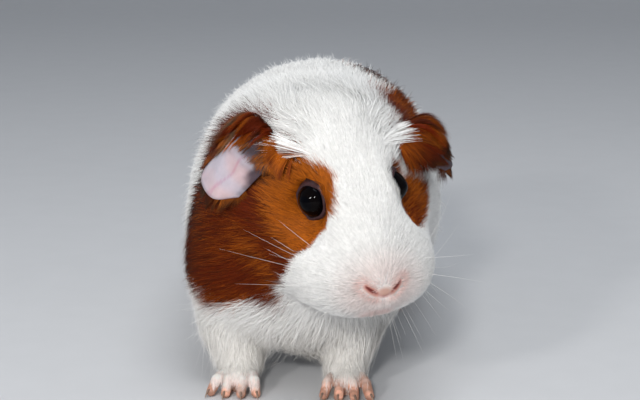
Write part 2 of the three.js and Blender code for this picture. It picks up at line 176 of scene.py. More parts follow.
legs = [
    {"name": "fore_right", "leg": [(-22, 8, 34, 15), (-22.5, 5, 20, 11.3), (-21, 1, 9, 7.2)],
     "foot": [(-20.5, 0.5, 7.5, 5.4), (-20.5, -7, 3.8, 4)], "toes": (-27, -10, 5, 19)},
    {"name": "fore_left", "leg": [(17, 6, 34, 13), (13.5, 3, 20, 9), (11.5, 0, 9, 6)],
     "foot": [(11.5, 0.5, 7.5, 5.1), (13, -7, 3.8, 4)], "toes": (-18, -3, 12, 28)},
    {"name": "hind_right", "leg": [(-31, 108, 34, 17), (-33, 108, 20, 12), (-34, 110, 9.5, 7)],
     "foot": [(-34, 114, 4.6, 5.2), (-36, 92, 3.6, 4.2)], "toes": (-16, 0, 16)},
    {"name": "hind_left", "leg": [(14, 108, 34, 17), (15, 108, 20, 12), (15.5, 110, 9.5, 7)],
     "foot": [(15.5, 114, 4.6, 5.2), (18, 92, 3.6, 4.2)], "toes": (-16, 0, 16)},
]
legCoat = (2.6, 2.0, 1.0)  # depth of coat at a leg's three points, from the top down
toe = {"reach": 7, "radius": 1.85, "spread": 2.8, "rootRise": 1.2, "knuckleHeight": 4.4,
       "taper": (1.15, 1, 0.85), "coat": 0.15}
claw = {"length": 2.4, "radius": 0.52, "rings": 12, "sides": 10, "foot": (0.16, 0.085, 0.06),
        "tip": (0.27, 0.19, 0.14)}


def blendMin(a, b, k):
    # the smaller of two distances, rounded off where they come within k of each other
    if k == 0:
        return np.minimum(a, b)
    overlap = np.maximum(k - np.abs(a - b), 0) / k
    return np.minimum(a, b) - overlap ** 3 * k / 6


def carved(distance, cut, k):
    # a hollow taken out of a form, with its edge rounded off
    return -blendMin(-distance, cut, k)


def ellipsoidDistance(points, centre, radii, tilt=0):
    # the distance out as a share of the radii, less one, brought back to millimetres by its slope
    c, s = math.cos(math.radians(tilt)), math.sin(math.radians(tilt))
    x, y, z = (points[:, i] - centre[i] for i in range(3))
    q = (x, c * y + s * z, c * z - s * y)
    near = np.sqrt(sum((q[i] / radii[i]) ** 2 for i in range(3)))
    slope = np.sqrt(sum((q[i] / radii[i] ** 2) ** 2 for i in range(3)))
    return near * (near - 1) / np.maximum(slope, 1e-6)


def massesDistance(points, masses, inset):
    # the ellipsoids blended one after another, each smaller by its depth of coat times the inset
    distance = None
    for mass in masses:
        for side in ((1, -1) if mass.get("pair") else (1,)):
            x, y, z = mass["centre"]
            radii = [r - inset * mass["coat"] for r in mass["radii"]]
            own = ellipsoidDistance(points, (x * side, y, z), radii, mass.get("tilt", 0))
            distance = own if distance is None else blendMin(distance, own, mass["blend"])
    return distance


def chainDistance(points, chain, k=0):
    # distance to a run of rounded cones; each chain point is x, y, z, radius
    distance = None
    for a, b in zip(np.array(chain[:-1], float), np.array(chain[1:], float)):
        along = b[:3] - a[:3]
        share = np.clip((points - a[:3]) @ along / (along @ along), 0, 1)
        gap = np.linalg.norm(points - a[:3] - share[:, None] * along, axis=1)
        own = gap - (a[3] + share * (b[3] - a[3]))
        distance = own if distance is None else blendMin(distance, own, k)
    return distance


def toeLines(limb):
    # root, knuckle and tip of each toe, fanned from the front of the foot
    front = np.array(limb["foot"][1][:3], float)
    middle = (len(limb["toes"]) - 1) / 2
    lines = []
    for i, turn in enumerate(limb["toes"]):
        way = np.array([math.sin(math.radians(turn)), -math.cos(math.radians(turn)), 0])
        root = front + [(i - middle) * toe["spread"], 1.5, toe["rootRise"]]
        knuckle = root + way * toe["reach"] * 0.55
        tip = root + way * toe["reach"] * (1.1 if abs(i - middle) < 1 else 1)
        knuckle[2] = toe["knuckleHeight"]
        tip[2] = toe["radius"] * 0.78
        lines.append((root, knuckle, tip, way))
    return lines


def legDistance(points, limb, inset):
    # a leg, its foot and its toes as chains of rounded cones
    leg = [(*p[:3], p[3] - inset * c) for p, c in zip(limb["leg"], legCoat)]
    foot = [(*p[:3], p[3] - inset * toe["coat"]) for p in limb["foot"]]
    distance = blendMin(chainDistance(points, leg, 3), chainDistance(points, foot), 3)
    r = toe["radius"] - inset * toe["coat"]
    for line in toeLines(limb):
        chain = [(*joint, r * share) for joint, share in zip(line, toe["taper"])]
        distance = blendMin(distance, chainDistance(points, chain, 0.6), 0.8)
    return distance


# a hollow of short hair round each eye: its height along the eye's way for coat and skin, and how that
# grows beyond a radius
dish = {"height": (3.0, 2.1), "radius": 6, "slope": 0.6, "curve": 0.06, "blend": 2}


def dishDistance(points, inset):
    # positive above the hollow
    distance = np.full(len(points), -1e9)
    for side in (-1, 1):
        out = points - eyeCentre(side)
        ahead = out @ eyeWay(side)
        beyond = np.maximum(np.sqrt(np.maximum(np.sum(out ** 2, 1) - ahead ** 2, 0)) - dish["radius"], 0)
        height = between(dish["height"], inset) + dish["slope"] * beyond + dish["curve"] * beyond ** 2
        distance = np.maximum(distance, (ahead - height) * 0.8)
    return distance


def bodyDistance(points, inset=0):
    # inset 0 is the outline of the coat, 1 is the skin under it
    distance = massesDistance(points, bodyMasses, inset)
    distance = blendMin(distance, massesDistance(toHead(points), headMasses, inset), headBlend)
    distance = carved(distance, -dishDistance(points, inset), dish["blend"])
    low = points[:, 2] < legTop
    if low.any():
        for limb in legs:
            distance[low] = blendMin(distance[low], legDistance(points[low], limb, inset), legBlend)
    return distance


# the skin is one closed net over the form, with sockets, nostrils and mouth cut in
face = {
    "nostril": [(2.5, -31.2, -13.0, 0.14), (3.2, -30.9, -12.4, 0.30), (4.0, -30.4, -11.9, 0.28),
                (4.9, -29.7, -11.2, 0.10)],
    "nosePad": [(3.0, -31.0, -12.9, 0.10), (1.4, -31.4, -13.9, 0.14), (0, -31.5, -14.4, 0.18)],
    "nostrilWay": (0.3, 1.9, 0.5),  # how it runs inwards
    "philtrum": [(0, -31.5, -14.4, 0.3), (0, -31.0, -17.0, 0.35), (0, -28.6, -20.2, 0.4)],
    "mouth": [(0, -27.0, -21.0, 0.5), (3.6, -25.0, -22.8, 0.5), (7.5, -21.0, -24.2, 0.3)],
    "lips": (-0.7, -25.5, -22.0),
}


socket = {"wall": 1.55, "flare": 0.6, "flareStart": 1.6, "floor": 1.2, "play": 0.15}


def faceLine(name, side):
    # a line of the face on one side, mirrored from the left
    return np.array(face[name]) * [side, 1, 1, 1]


def skinDistance(points):
    # the bare form: nostrils, mouth and sockets are cut into the body
    distance = bodyDistance(points, 1)
    # feet stand flat on the floor
    distance = np.maximum(distance, -points[:, 2])
    inHead = toHead(points)
    nearFace = (inHead[:, 1] < 14) & (distance < 8)
    p = inHead[nearFace]
    own = distance[nearFace]
    for side in (1, -1):
        start = faceLine("nostril", side)
        inward = np.array([*face["nostrilWay"], 0]) * [side, 1, 1, 1]
        slit = np.minimum(chainDistance(p, start), chainDistance(p, start + inward * 0.6))
        own = carved(own, slit, 0.6)
        own = carved(own, chainDistance(p, faceLine("nosePad", side)), 0.9)
        own = carved(own, chainDistance(p, faceLine("mouth", side)), 0.8)
        # the socket: the eyeball's room, open in front
        centre = np.array([side * eye["halfSpacing"], 0, eye["rise"]])
        way = eyeWay(side) @ headAxes
        ahead = (p - centre) @ way
        aside = np.linalg.norm(p - centre - ahead[:, None] * way, axis=1)
        flare = socket["flare"] * np.maximum(ahead - socket["flareStart"], 0)
        bore = np.maximum(aside - (eye["opening"] + socket["wall"] + flare), socket["floor"] - ahead)
        room = np.minimum(gapTo(p, centre) - eye["radius"] - socket["play"], bore)
        own = np.maximum(own, -room)
    distance[nearFace] = carved(own, chainDistance(p, np.array(face["philtrum"])), 0.7)
    return distance


def gradedAxis(*runs):
    # lattice positions along one axis, from runs of (start, stop, step)
    return np.concatenate([np.arange(start, stop - step / 2, step) for start, stop, step in runs])


def slopeOf(distance, points, e=0.25):
    # central differences of a distance, along each axis
    shifts = np.eye(3) * e
    return np.stack([(distance(points + s) - distance(points - s)) / (2 * e) for s in shifts], 1)


def latticeValues(distance, axes, stride=4, reach=7):
    # the distance at every lattice point: rough first, then worked out in full near the surface
    coarse = [axis[::stride] for axis in axes]
    grid = np.stack(np.meshgrid(*coarse, indexing="ij"), -1)
    rough = distance(grid.reshape(-1, 3)).reshape(grid.shape[:3])
    for k, axis in enumerate(axes):
        rough = np.repeat(rough, stride, axis=k).take(np.arange(len(axis)), axis=k)
    near = np.argwhere(np.abs(rough) < reach)
    values = rough.astype(np.float32)
    points = np.stack([axes[k][near[:, k]] for k in range(3)], 1)
    values[tuple(near.T)] = distance(points)
    return values


def surfaceNet(values, axes):
    # a vertex in each lattice cell that the surface crosses, at the mean of the crossings on the cell's
    # edges, and a four-sided face across every crossed edge
    shape = np.array(values.shape) - 1
    inside = values < 0
    step = np.eye(3, dtype=int)
    cells, places, rings = [], [], []
    for axis in range(3):
        b, c = (axis + 1) % 3, (axis + 2) % 3
        low = np.take(inside, np.arange(shape[axis]), axis)
        high = np.take(inside, np.arange(1, shape[axis] + 1), axis)
        at = np.argwhere(low != high)
        at = at[(at[:, b] > 0) & (at[:, c] > 0) & (at[:, b] < shape[b]) & (at[:, c] < shape[c])]
        first = values[tuple(at.T)]
        second = values[tuple((at + step[axis]).T)]
        place = np.stack([axes[k][at[:, k]] for k in range(3)], 1).astype(float)
        width = axes[axis][at[:, axis] + 1] - axes[axis][at[:, axis]]
        place[:, axis] += width * first / (first - second)
        around = [at - db * step[b] - dc * step[c] for db, dc in ((0, 0), (1, 0), (1, 1), (0, 1))]
        ring = [np.ravel_multi_index(tuple(cell.T), tuple(shape)) for cell in around]
        cells += ring
        places += [place] * 4
        ring = np.stack(ring, 1)
        rings.append(np.where((first < 0)[:, None], ring, ring[:, ::-1]))
    used, index = np.unique(np.concatenate(cells), return_inverse=True)
    places = np.concatenate(places)
    count = np.bincount(index)
    vertices = np.stack([np.bincount(index, places[:, k]) / count for k in range(3)], 1)
    return vertices, np.searchsorted(used, np.concatenate(rings))


def relaxed(vertices, quads, share=0.5):
    # each vertex moved part of the way to the mean of those it shares an edge with
    a = quads.ravel()
    b = np.roll(quads, -1, 1).ravel()
    both, other = np.concatenate([a, b]), np.concatenate([b, a])
    count = np.bincount(both, minlength=len(vertices))[:, None]
    total = np.stack([np.bincount(both, vertices[other, k], len(vertices)) for k in range(3)], 1)
    return vertices + share * (total / np.maximum(count, 1) - vertices)


def settled(vertices, distance, level=0.0, most=0.6):
    # moved along the slope until the distance is the level asked for
    slope = slopeOf(distance, vertices)
    gap = (distance(vertices) - level) / np.maximum(np.sum(slope ** 2, 1), 0.2)
    return vertices - np.clip(gap, -most, most)[:, None] * slope


# markings, the same for skin and coat
tones = {
    "white": (0.885, 0.875, 0.855),
    "cream": (0.80, 0.74, 0.66),
    "ginger": (0.122, 0.013, 0.001),
    "amber": (0.43, 0.106, 0.007),
    "umber": (0.040, 0.014, 0.006),
    "sable": (0.016, 0.012, 0.012),
    "pink": (0.62, 0.33, 0.28),
    "nosePink": (0.42, 0.13, 0.11),
    "pad": (0.48, 0.29, 0.235),
    "ash": (0.15, 0.105, 0.062),
    "nostril": (0.13, 0.018, 0.014),
    "sole": (0.70, 0.36, 0.25),
    "lid": (0.030, 0.012, 0.013),
    "earPale": (0.46, 0.41, 0.46),
    "earDark": (0.055, 0.036, 0.045),
}
tones = {name: np.array(tone) for name, tone in tones.items()}

# outlines on each side of the head, in its y and z
cheekPatch = [(-6.5, 9.2), (-11, 6.6), (-13, 2.6), (-10.8, -4.5), (-9.2, -13), (-5, -23), (4, -33.5),
              (14, -39.5), (32, -39), (42, -24), (45, -6), (48, 0), (42, 6.5), (34, 10.5), (26, 12.5),
              (18, 11.8), (12, 10.6), (5, 10.8), (0, 10.6)]
# how far out from the middle of the head the right cheek's patch begins, by y
crownEdge = {"y": [-10, -5, 0, 5, 12, 19, 27, 42], "x": [7.6, 6.4, 7.9, 11, 13, 11.8, 10.2, 13.5]}
farPatch = [(-5, 4.5), (-9, -2), (-10, -8), (-4, -13), (6, -14), (14, -10), (10, -5), (6, -1),
            (6, 4.5), (3.5, 7), (-1, 6.5)]
templePatch = [(4, 2), (9, 9), (18, 14), (30, 14), (36, 6), (32, -6), (20, -6), (12, -2)]
templeEdge = 19.5  # how far out from the middle of the head the left temple's patch begins
napePatch = {"centre": (27.5, 45, 80), "radii": (11, 39, 12.5), "uneven": 0.6}
wispPatch = {"centre": (19, 84, 86), "radii": (14, 12, 9), "uneven": 2}
rumpPatch = {"centre": (22, 128, 62), "radii": (26, 24, 26), "uneven": 5}


def outlineDistance(points, outline):
    # distance to a closed outline, negative inside it
    start = np.array(outline, float)
    end = np.roll(start, -1, 0)
    nearest = np.full(len(points), 1e9)
    inside = np.zeros(len(points), bool)
    for a, b in zip(start, end):
        along = b - a
        share = np.clip((points - a) @ along / (along @ along), 0, 1)
        nearest = np.minimum(nearest, np.linalg.norm(points - a - share[:, None] * along, axis=1))
        passes = (a[1] > points[:, 1]) != (b[1] > points[:, 1])
        rise = np.where(b[1] == a[1], 1, b[1] - a[1])
        inside ^= passes & (points[:, 0] < a[0] + (points[:, 1] - a[1]) * along[0] / rise)
    return np.where(inside, -nearest, nearest)


def ripple(points, size, seed=0.0):
    # a smooth uneven value from -1 to 1: three slanted waves, of about the size given
    x, y, z = (points / size).T
    a = np.sin(x * 1.7 + y * 2.3 + seed * 1.3 + 1.1 * np.sin(z * 1.9 + seed))
    b = np.sin(y * 1.9 - z * 2.1 + seed * 2.1 + 1.3 * np.sin(x * 1.6 - seed))
    c = np.sin(z * 2.2 + x * 1.5 - seed * 1.7 + 1.2 * np.sin(y * 2.0 + seed))
    return (a + b + c) / 3


def gingerShare(points):
    # the distance to the nearest coloured patch, negative inside it
    inHead = toHead(points)
    hx, hy = inHead.T[:2]
    flat = inHead[:, 1:]
    right = np.where((hx < -3) & (hy < 52), outlineDistance(flat, cheekPatch), 99)
    right = np.maximum(right, 0.8 * (hx + np.interp(hy, crownEdge["y"], crownEdge["x"])))
    left = np.where(hx > 6, outlineDistance(flat, farPatch), 99)
    temple = np.where(hx > 13, outlineDistance(flat, templePatch), 99)
    temple = np.maximum(temple, 0.8 * (templeEdge - hx))
    distance = np.minimum(np.minimum(right, left), temple)
    for patch in (napePatch, wispPatch, rumpPatch):
        own = ellipsoidDistance(points, patch["centre"], patch["radii"])
        distance = np.minimum(distance, own + patch["uneven"] * ripple(points, 11, 6.0))
    return distance


def darkShare(points):
    # how much of the ginger hair is tipped with black: most behind the cheek, round and under the ears
    inHead = toHead(points)
    hx, hy, hz = inHead.T
    behind = smoothStep(20, 40, hy - 0.25 * hz - 9 * smoothStep(-3, 6, hz)) * smoothStep(4, -8, hx)
    flat = inHead * [0, 1, 1]
    aroundEar = 1 - smoothStep(0.5, 1.15, gapTo(flat, [0, 24, 7], [1, 15, 9]))
    beforeEar = 1 - smoothStep(0.6, 1.3, gapTo(flat, [0, 14.5, 3], [1, 5, 4.5]))
    byEar = (0.08 * aroundEar + 0.6 * beforeEar) * smoothStep(12, 18, np.abs(hx))
    wisps = 1 - smoothStep(0.8, 1.4, gapTo(points, wispPatch["centre"], wispPatch["radii"]))
    share = 0.14 + 0.6 * behind + byEar + 0.1 * smoothStep(24, 60, points[:, 1]) + 0.7 * wisps
    return np.clip(share, 0, 1)


def coatTones(points, chance):
    # the tones at the foot and the tip of a hair at each place: white, or ginger that may be tipped with
    # black and is lightened by painted light near the eye and on the far side's patch, with ragged edges
    # between them
    y, z = points.T[1:]
    hx, hy, hz = toHead(points).T
    eyeGap = gapTo(points, eyeCentre(-1))
    byEar = smoothStep(6, 12, hy) * smoothStep(46, 38, hy) * smoothStep(5, 9, hz)
    ragged = 1 + 3.4 * smoothStep(16, 30, y) * smoothStep(60, 70, z) + 1.5 * byEar
    ragged = ragged * (1 - 0.65 * smoothStep(13, 8, eyeGap))
    edge = gingerShare(points) + ragged * (0.8 * ripple(points, 3.2, 1.0) + 1.8 * (chance[:, 0] - 0.5))
    ginger = 1 - smoothStep(-0.35, 0.35, edge)[:, None]
    # the ginger runs from dark to amber: the ripple and the chance are the coat's own uneven tone; the lift
    # near the eye and on the far side's patch is painted light, and it is also lighter high on the nape
    light = 0.8 * ripple(points, 8, 2.0) + 1.3 * (chance[:, 1] - 0.5) + 1.7 * smoothStep(22, 8, eyeGap)
    light = light + 0.8 * (smoothStep(20, 34, y) * smoothStep(66, 74, z)) - 0.5
    light = light + 0.8 * smoothStep(8, 12, hx) * smoothStep(14, 6, hy)
    light = smoothStep(-0.4, 1.0, light)[:, None]
    warm = mix(tones["ginger"], tones["amber"], light) * (0.72 + 0.56 * chance[:, 1:2])
    dark = darkShare(points)
    tipped = smoothStep(-0.15, 0.15, dark - chance[:, 2])[:, None]
    deep = smoothStep(0.45, 0.85, dark * (0.5 + chance[:, 3]))[:, None]
    tip = mix(warm, mix(tones["umber"], tones["sable"], deep), tipped)
    foot = warm * (1 - 0.75 * deep) + tones["umber"] * 0.75 * deep
    cream = (0.35 * smoothStep(30, 12, z) + 0.12 * chance[:, 3])[:, None]
    pale = mix(tones["white"], tones["cream"], cream)
    return mix(pale, foot, ginger), mix(pale, tip, ginger)


def nostrilDistance(inHead):
    # the distance to the nearer nostril
    right, left = (chainDistance(inHead, faceLine("nostril", side)) for side in (-1, 1))
    return np.minimum(right, left)


def bareShare(points):
    # where skin shows through the coat: round the nostrils, the lips and the toes
    inHead = toHead(points)
    septum = gapTo(inHead, [0, -31.6, -12.7], [2.8, 3, 1.9])
    wings = 1 - smoothStep(0.4, 2.0, np.minimum(nostrilDistance(inHead), 1.6 * septum - 0.2))
    wings = smoothStep(-27, -30, inHead[:, 1]) * wings
    lips = gapTo(inHead, face["lips"], [3.4, 4.4, 2.8])
    furrier = points[:, 0] < -12
    height = points[:, 2] + 1.6 * ripple(points, 2.4, 4.0)
    feet = smoothStep(np.where(furrier, 6.0, 8.2), np.where(furrier, 2.0, 3.8), height)
    return np.maximum(np.maximum(wings, 0.8 * (1 - smoothStep(0.6, 1.2, lips))), feet)


def skinTone(points):
    # the coat's own tone, bare flesh where no coat covers it, then nostrils, mouth line and lids over that;
    # the toes' creases, the nostrils and the mouth line are darkened with painted shade
    chance = np.tile([0.5, 0.3, 0.6, 0.5], (len(points), 1))
    furred = coatTones(points, chance)[0] * 0.8
    inHead = toHead(points)
    onFoot = smoothStep(22, 14, points[:, 2])[:, None]
    # painted shade: dark stripes across the toes stand in for the shade in their creases
    wave = np.sin(5.2 * points[:, 1] + 1.5 * ripple(points, 3, 2.0))
    creaseShade = 1 - 0.3 * smoothStep(0.35, 0.9, wave)[:, None]
    mottle = smoothStep(-0.3, 0.7, ripple(points, 2.2, 5.0))[:, None]
    sole = tones["sole"] * (0.62 + 0.55 * mottle) * creaseShade
    flesh = tones["pink"] + (sole - tones["pink"]) * onFoot
    flesh = mix(flesh, tones["pad"], smoothStep(-27, -30, inHead[:, 1])[:, None])
    tone = mix(furred, flesh, bareShare(points)[:, None])
    for side in (1, -1):
        lines = [faceLine(name, side) for name in ("nostril", "nosePad", "mouth")]
        slit, pad, mouth = (chainDistance(inHead, line) for line in lines)
        lid = gapTo(points - eyeCentre(side), 2 * eyeWay(side))
        # painted shade: the nostrils' slits and the mouth line are darkened, and a deeper pink rings the
        # nostrils and lines the pad's groove, for the shade in these hollows
        fold = np.maximum(0.6 * smoothStep(1.1, 0.2, slit), 0.45 * smoothStep(0.8, 0.1, pad))
        for own, share in ((tones["nosePink"], fold), (tones["nostril"], smoothStep(0.4, 0.05, slit)),
                           (tones["nostril"] * 2, 0.6 * smoothStep(0.6, -0.2, mouth)),
                           (tones["lid"], smoothStep(7.6, 6.9, lid))):
            tone = mix(tone, own, share[:, None])
    return tone


def meshFrom(name, points, faces, tones=None, smooth=True, patches=None):
    # points in animal millimetres, faces as rows of three or four indices; tones go to an attribute
    mesh = bpy.data.meshes.new(name)
    mesh.vertices.add(len(points))
    mesh.vertices.foreach_set("co", inFrame(points).astype(np.float32).ravel())
    sides = faces.shape[1]
    mesh.loops.add(faces.size)
    mesh.loops.foreach_set("vertex_index", faces.astype(np.int32).ravel())
    mesh.polygons.add(len(faces))
    mesh.polygons.foreach_set("loop_start", np.arange(0, faces.size, sides, dtype=np.int32))
    mesh.polygons.foreach_set("use_smooth", np.full(len(faces), smooth))
    mesh.update(calc_edges=True)
    if tones is not None:
        layer = mesh.attributes.new("coatColour", "FLOAT_COLOR", "POINT")
        rgba = np.concatenate([tones, np.ones((len(tones), 1))], 1)
        layer.data.foreach_set("color", rgba.astype(np.float32).ravel())
    if patches is not None:
        layer = mesh.uv_layers.new(name="OFBake")
        layer.uv.foreach_set("vector", patches[faces.ravel()].astype(np.float32).ravel())
    mesh.validate()
    piece = bpy.data.objects.new(name, mesh)
    bpy.context.collection.objects.link(piece)
    return piece


def gridFaces(rows, columns, closed=False, start=0):
    # four-sided faces over a grid of rows and columns; closed joins the last column to the first
    i, j = np.meshgrid(np.arange(rows - 1), np.arange(columns if closed else columns - 1), indexing="ij")
    k = (j + 1) % columns
    quads = np.stack([i * columns + j, i * columns + k, (i + 1) * columns + k, (i + 1) * columns + j], -1)
    return quads.reshape(-1, 4) + start


def halved(quads):
    # each four-sided face as two triangles
    return np.concatenate([quads[:, [0, 1, 2]], quads[:, [0, 2, 3]]])


def closedFaces(rows, columns):
    # triangles over closed rings of points, with fans to the two end points that follow them
    j = np.arange(columns)
    k = (j + 1) % columns
    last = (rows - 1) * columns
    start = np.stack([np.full(columns, rows * columns), k, j], 1)
    end = np.stack([np.full(columns, rows * columns + 1), last + j, last + k], 1)
    return np.concatenate([halved(gridFaces(rows, columns, closed=True)), start, end])


def joined(parts):
    # sets of points, faces and tones as one
    points, faces, colours = zip(*parts)
    shifts = np.cumsum([0] + [len(own) for own in points[:-1]])
    faces = [own + shift for own, shift in zip(faces, shifts)]
    return np.concatenate(points), np.concatenate(faces), np.concatenate(colours)


skinAxes = [
    gradedAxis((-56, -34, 1.3), (-34, -8, 0.7), (-8, 8, 0.8), (8, 18, 0.6), (18, 36, 0.38), (36, 48, 0.9)),
    gradedAxis((-58, -54, 1.5), (-54, -42, 0.36), (-42, -36, 0.6), (-36, 16, 0.8), (16, 86, 1.9),
               (86, 126, 1.1), (126, 152, 1.9)),
    gradedAxis((-1.25, 7.5, 0.45), (7.5, 30, 1.1), (30, 34, 0.7), (34, 50, 0.42), (50, 80, 0.75),
               (80, 98, 1.2)),
]
skinValues = latticeValues(skinDistance, skinAxes)
skinPoints, skinQuads = surfaceNet(skinValues, skinAxes)
for turn in range(2):
    skinPoints = relaxed(skinPoints, skinQuads)
    skinPoints = settled(skinPoints, skinDistance)
skinPoints[:, 2] = np.maximum(skinPoints[:, 2], 0.02)
print("skin net", len(skinPoints), "points,", 2 * len(skinQuads), "triangles")

# ears are petals that spring outwards and hang
ears = {
    "root": (18, 18, 8),
    "droop": {-1: -9, 1: 7},  # degrees
    "base": [(13, 12, 10), (15.5, 17, 9), (17.5, 23, 5), (18, 28, -2)],  # front to back, as on the left
    "crest": {-1: [(20.2, 11.5, 7.1), (25, 17, 13), (26.5, 25, 12.8), (26, 31, 6.5)],
              1: [(21.8, 12, 4.5), (28, 17, 8.8), (30.5, 25, 6.3), (29.5, 31, -1)]},
    "rim": {-1: [(28.3, 14.6, -5.8), (35, 18, -8), (37, 26, -6.5), (33.5, 33, -4)],
            1: [(35.5, 15.5, -5), (39, 19, -5.6), (41, 26, -7), (39.5, 32, -6.4)]},
    "thickness": (1.4, 0.6),  # at the root and at the rim
    "rows": 44,
    "columns": 60,
}


def catmullRom(knots, t, paired=False):
    # a smooth curve through the knots: on each span a cubic whose slopes are half the chord of its
    # neighbours; t runs from 0 to 1 over all spans, and paired takes each t on its own curve
    knots = np.asarray(knots, float)
    spans = len(knots) - 1
    padded = np.concatenate([[2 * knots[0] - knots[1]], knots, [2 * knots[-1] - knots[-2]]])
    at = np.clip(np.asarray(t) * spans, 0, spans - 1e-9)
    i = at.astype(int)
    f = (at - i)[:, None] if paired else (at - i).reshape(at.shape + (1,) * (knots.ndim - 1))
    own = (np.arange(len(at)),) if paired else ()
    p, q, r, s = (padded[(i + k, *own)] for k in range(4))
    curve = 2 * q + (r - p) * f + (2 * p - 5 * q + 4 * r - s) * f ** 2 + (3 * q - p - 3 * r + s) * f ** 3
    return 0.5 * curve


def earSheet(side, u, v, paired=False):
    # u from root to rim, v from front to back
    root = np.array(ears["root"], float)
    a = math.radians(ears["droop"][side])
    turn = np.array([[math.cos(a), 0, math.sin(a)], [0, 1, 0], [-math.sin(a), 0, math.cos(a)]])
    lines = np.array([ears["base"], ears["crest"][side], ears["rim"][side]], float)
    lines = (lines - root) @ turn.T + root
    lines[..., 0] *= side
    rows = np.stack([catmullRom(line, v) for line in lines])
    return fromHead(catmullRom(rows, u, paired))


def earPoint(side, u, v):
    # one place on the sheet for each pair of u and v
    return earSheet(side, u, v, paired=True)


def earPiece(side):
    # the sheet and its back, joined round the edge by a rounded rim
    rows, columns = ears["rows"], ears["columns"]
    u = np.linspace(0, 1, rows)
    v = np.linspace(0, 1, columns)
    sheet = earSheet(side, u, v)
    alongU = np.gradient(sheet, axis=0)
    alongV = np.gradient(sheet, axis=1)
    normal = unit(np.cross(alongU, alongV)) * side
    rim = np.minimum(np.minimum(v, 1 - v)[None, :] * 12, (1 - u)[:, None] * 14)
    rounded = np.sqrt(np.clip(rim, 0, 1))
    half = between(ears["thickness"], u)[:, None] / 2 * (0.25 + 0.75 * rounded)
    folds = 0.22 * np.sin(v * 21 + 5 * u[:, None]) * np.sin(np.pi * u)[:, None]
    outer = sheet + (half + folds)[..., None] * normal
    inner = sheet - (half - folds)[..., None] * normal
    points = np.concatenate([outer.reshape(-1, 3), inner.reshape(-1, 3)])
    shift = rows * columns
    edge = np.concatenate([np.arange(columns), np.arange(1, rows) * columns + columns - 1,
                           (rows - 1) * columns + np.arange(columns - 2, -1, -1),
                           np.arange(rows - 2, 0, -1) * columns])
    after = np.roll(edge, -1)
    faces = np.concatenate([gridFaces(rows, columns), gridFaces(rows, columns, start=shift)[:, ::-1],
                            np.stack([edge, edge + shift, after + shift, after], 1)])
    u, v = np.tile(np.repeat(u, columns), 2), np.tile(np.tile(v, rows), 2)
    return points, faces if side > 0 else faces[:, ::-1], earTone(points, u, v, side)


def earTone(points, u, v, side):
    # the near ear's flap is pale, with a soft vein that branches, and dark along its front; the far one
    # is dark
    wave = 0.05 * ripple(points, 3.2, 3.0) + 0.03 * ripple(points, 1.3, 8.0)
    if side < 0:
        pale = smoothStep(0.57, 0.77, u - 0.24 * smoothStep(0.2, 0, v) + wave)
    else:
        pale = np.zeros(len(u))
    flush = smoothStep(-0.3, 0.9, ripple(points, 5, 4.0) + 0.8 * (0.5 - v))[:, None]
    light = tones["earPale"] * (1 - 0.35 * flush) + tones["pink"] * 0.35 * flush
    vein = np.minimum(np.abs(v - 0.27 - 0.5 * (u - 0.72) - 0.03 * np.sin(29 * u)),
                      np.abs(v - 0.31 - 0.9 * (u - 0.84)) + 2 * np.maximum(0.84 - u, 0))
    veins = 1 - np.array([0.05, 0.24, 0.17]) * smoothStep(0.026, 0.004, vein)[:, None]
    dark = tones["earDark"] * (0.75 + 0.6 * flush)
    tone = mix(dark, light * veins, pale[:, None])
    tone = mix(tone, tones["earPale"], smoothStep(0.965, 0.995, u)[:, None] * (0.35 if side < 0 else 0))
    under = tones["ginger"] * 0.5 if side < 0 else tones["cream"] * 0.6
    return mix(tone, under, smoothStep(0.42, 0.12, u)[:, None])


# lids are a rounded rim of bare dark skin round each eyeball
lids = {
    # turn from the back, width, and how far each goes
    "corners": [(1.75, 0.30, 0.11), (-2.0, 0.34, 0.13)],
    # outwards from the opening, and along the eye's way
    "profile": [(-1.3, 0.4), (-0.5, 1.5), (-0.1, 2.0), (0.1, 2.26), (0.35, 2.42), (0.65, 2.4), (0.95, 2.2),
                (1.25, 1.75), (1.6, 1.1), (2.1, 0.2)],
    "width": 1.2,
    "spokes": 96,
}


def lidOpening(angle):
    # radius of the opening round the eye: nearly round, drawn out into a corner above and one below
    reach = 0.95 + 0.02 * np.cos(2 * angle)
    for turn, width, much in lids["corners"]:
        reach = reach + much * np.exp(-((np.angle(np.exp(1j * (angle - turn))) / width) ** 2))
    return eye["opening"] * reach


def eyeAxes(side):
    # the way an eye looks, then backwards and up across it
    way = eyeWay(side)
    back = unit(across(headWay([0, 1, 0]), way))
    up = np.cross(back, way) * side
    return way, back, up


def lidPiece(side):
    # the profile carried round the opening, a little uneven, from inside the eyeball to under the coat
    way, back, up = eyeAxes(side)
    angle = np.linspace(0, 2 * np.pi, lids["spokes"], endpoint=False)
    profile = np.array(lids["profile"])
    t = np.linspace(0, 1, len(profile) * 2 - 1)
    out, height = catmullRom(profile, t).T
    fold = 1 + 0.10 * np.sin(5 * angle + 0.8) + 0.05 * np.sin(13 * angle)
    ring = lidOpening(angle)[None, :] + out[:, None] * fold[None, :]
    lift = height[:, None] + 0.10 * np.sin(7 * angle + 2)[None, :] * smoothStep(-0.2, 0.6, out)[:, None]
    spoke = np.cos(angle)[None, :, None] * back + np.sin(angle)[None, :, None] * up
    points = eyeCentre(side) + lift[..., None] * way + ring[..., None] * spoke
    faces = gridFaces(len(t), lids["spokes"], closed=True)
    out = np.repeat(out, lids["spokes"])
    # painted highlight: the lid rim is lighter along its crest, for the sheen on its wet skin
    crestHighlight = (smoothStep(0.0, 0.5, out) * smoothStep(1.6, 0.9, out))[:, None]
    return points.reshape(-1, 3), faces if side > 0 else faces[:, ::-1], tones["lid"] * (0.55 + 0.85 * crestHighlight)


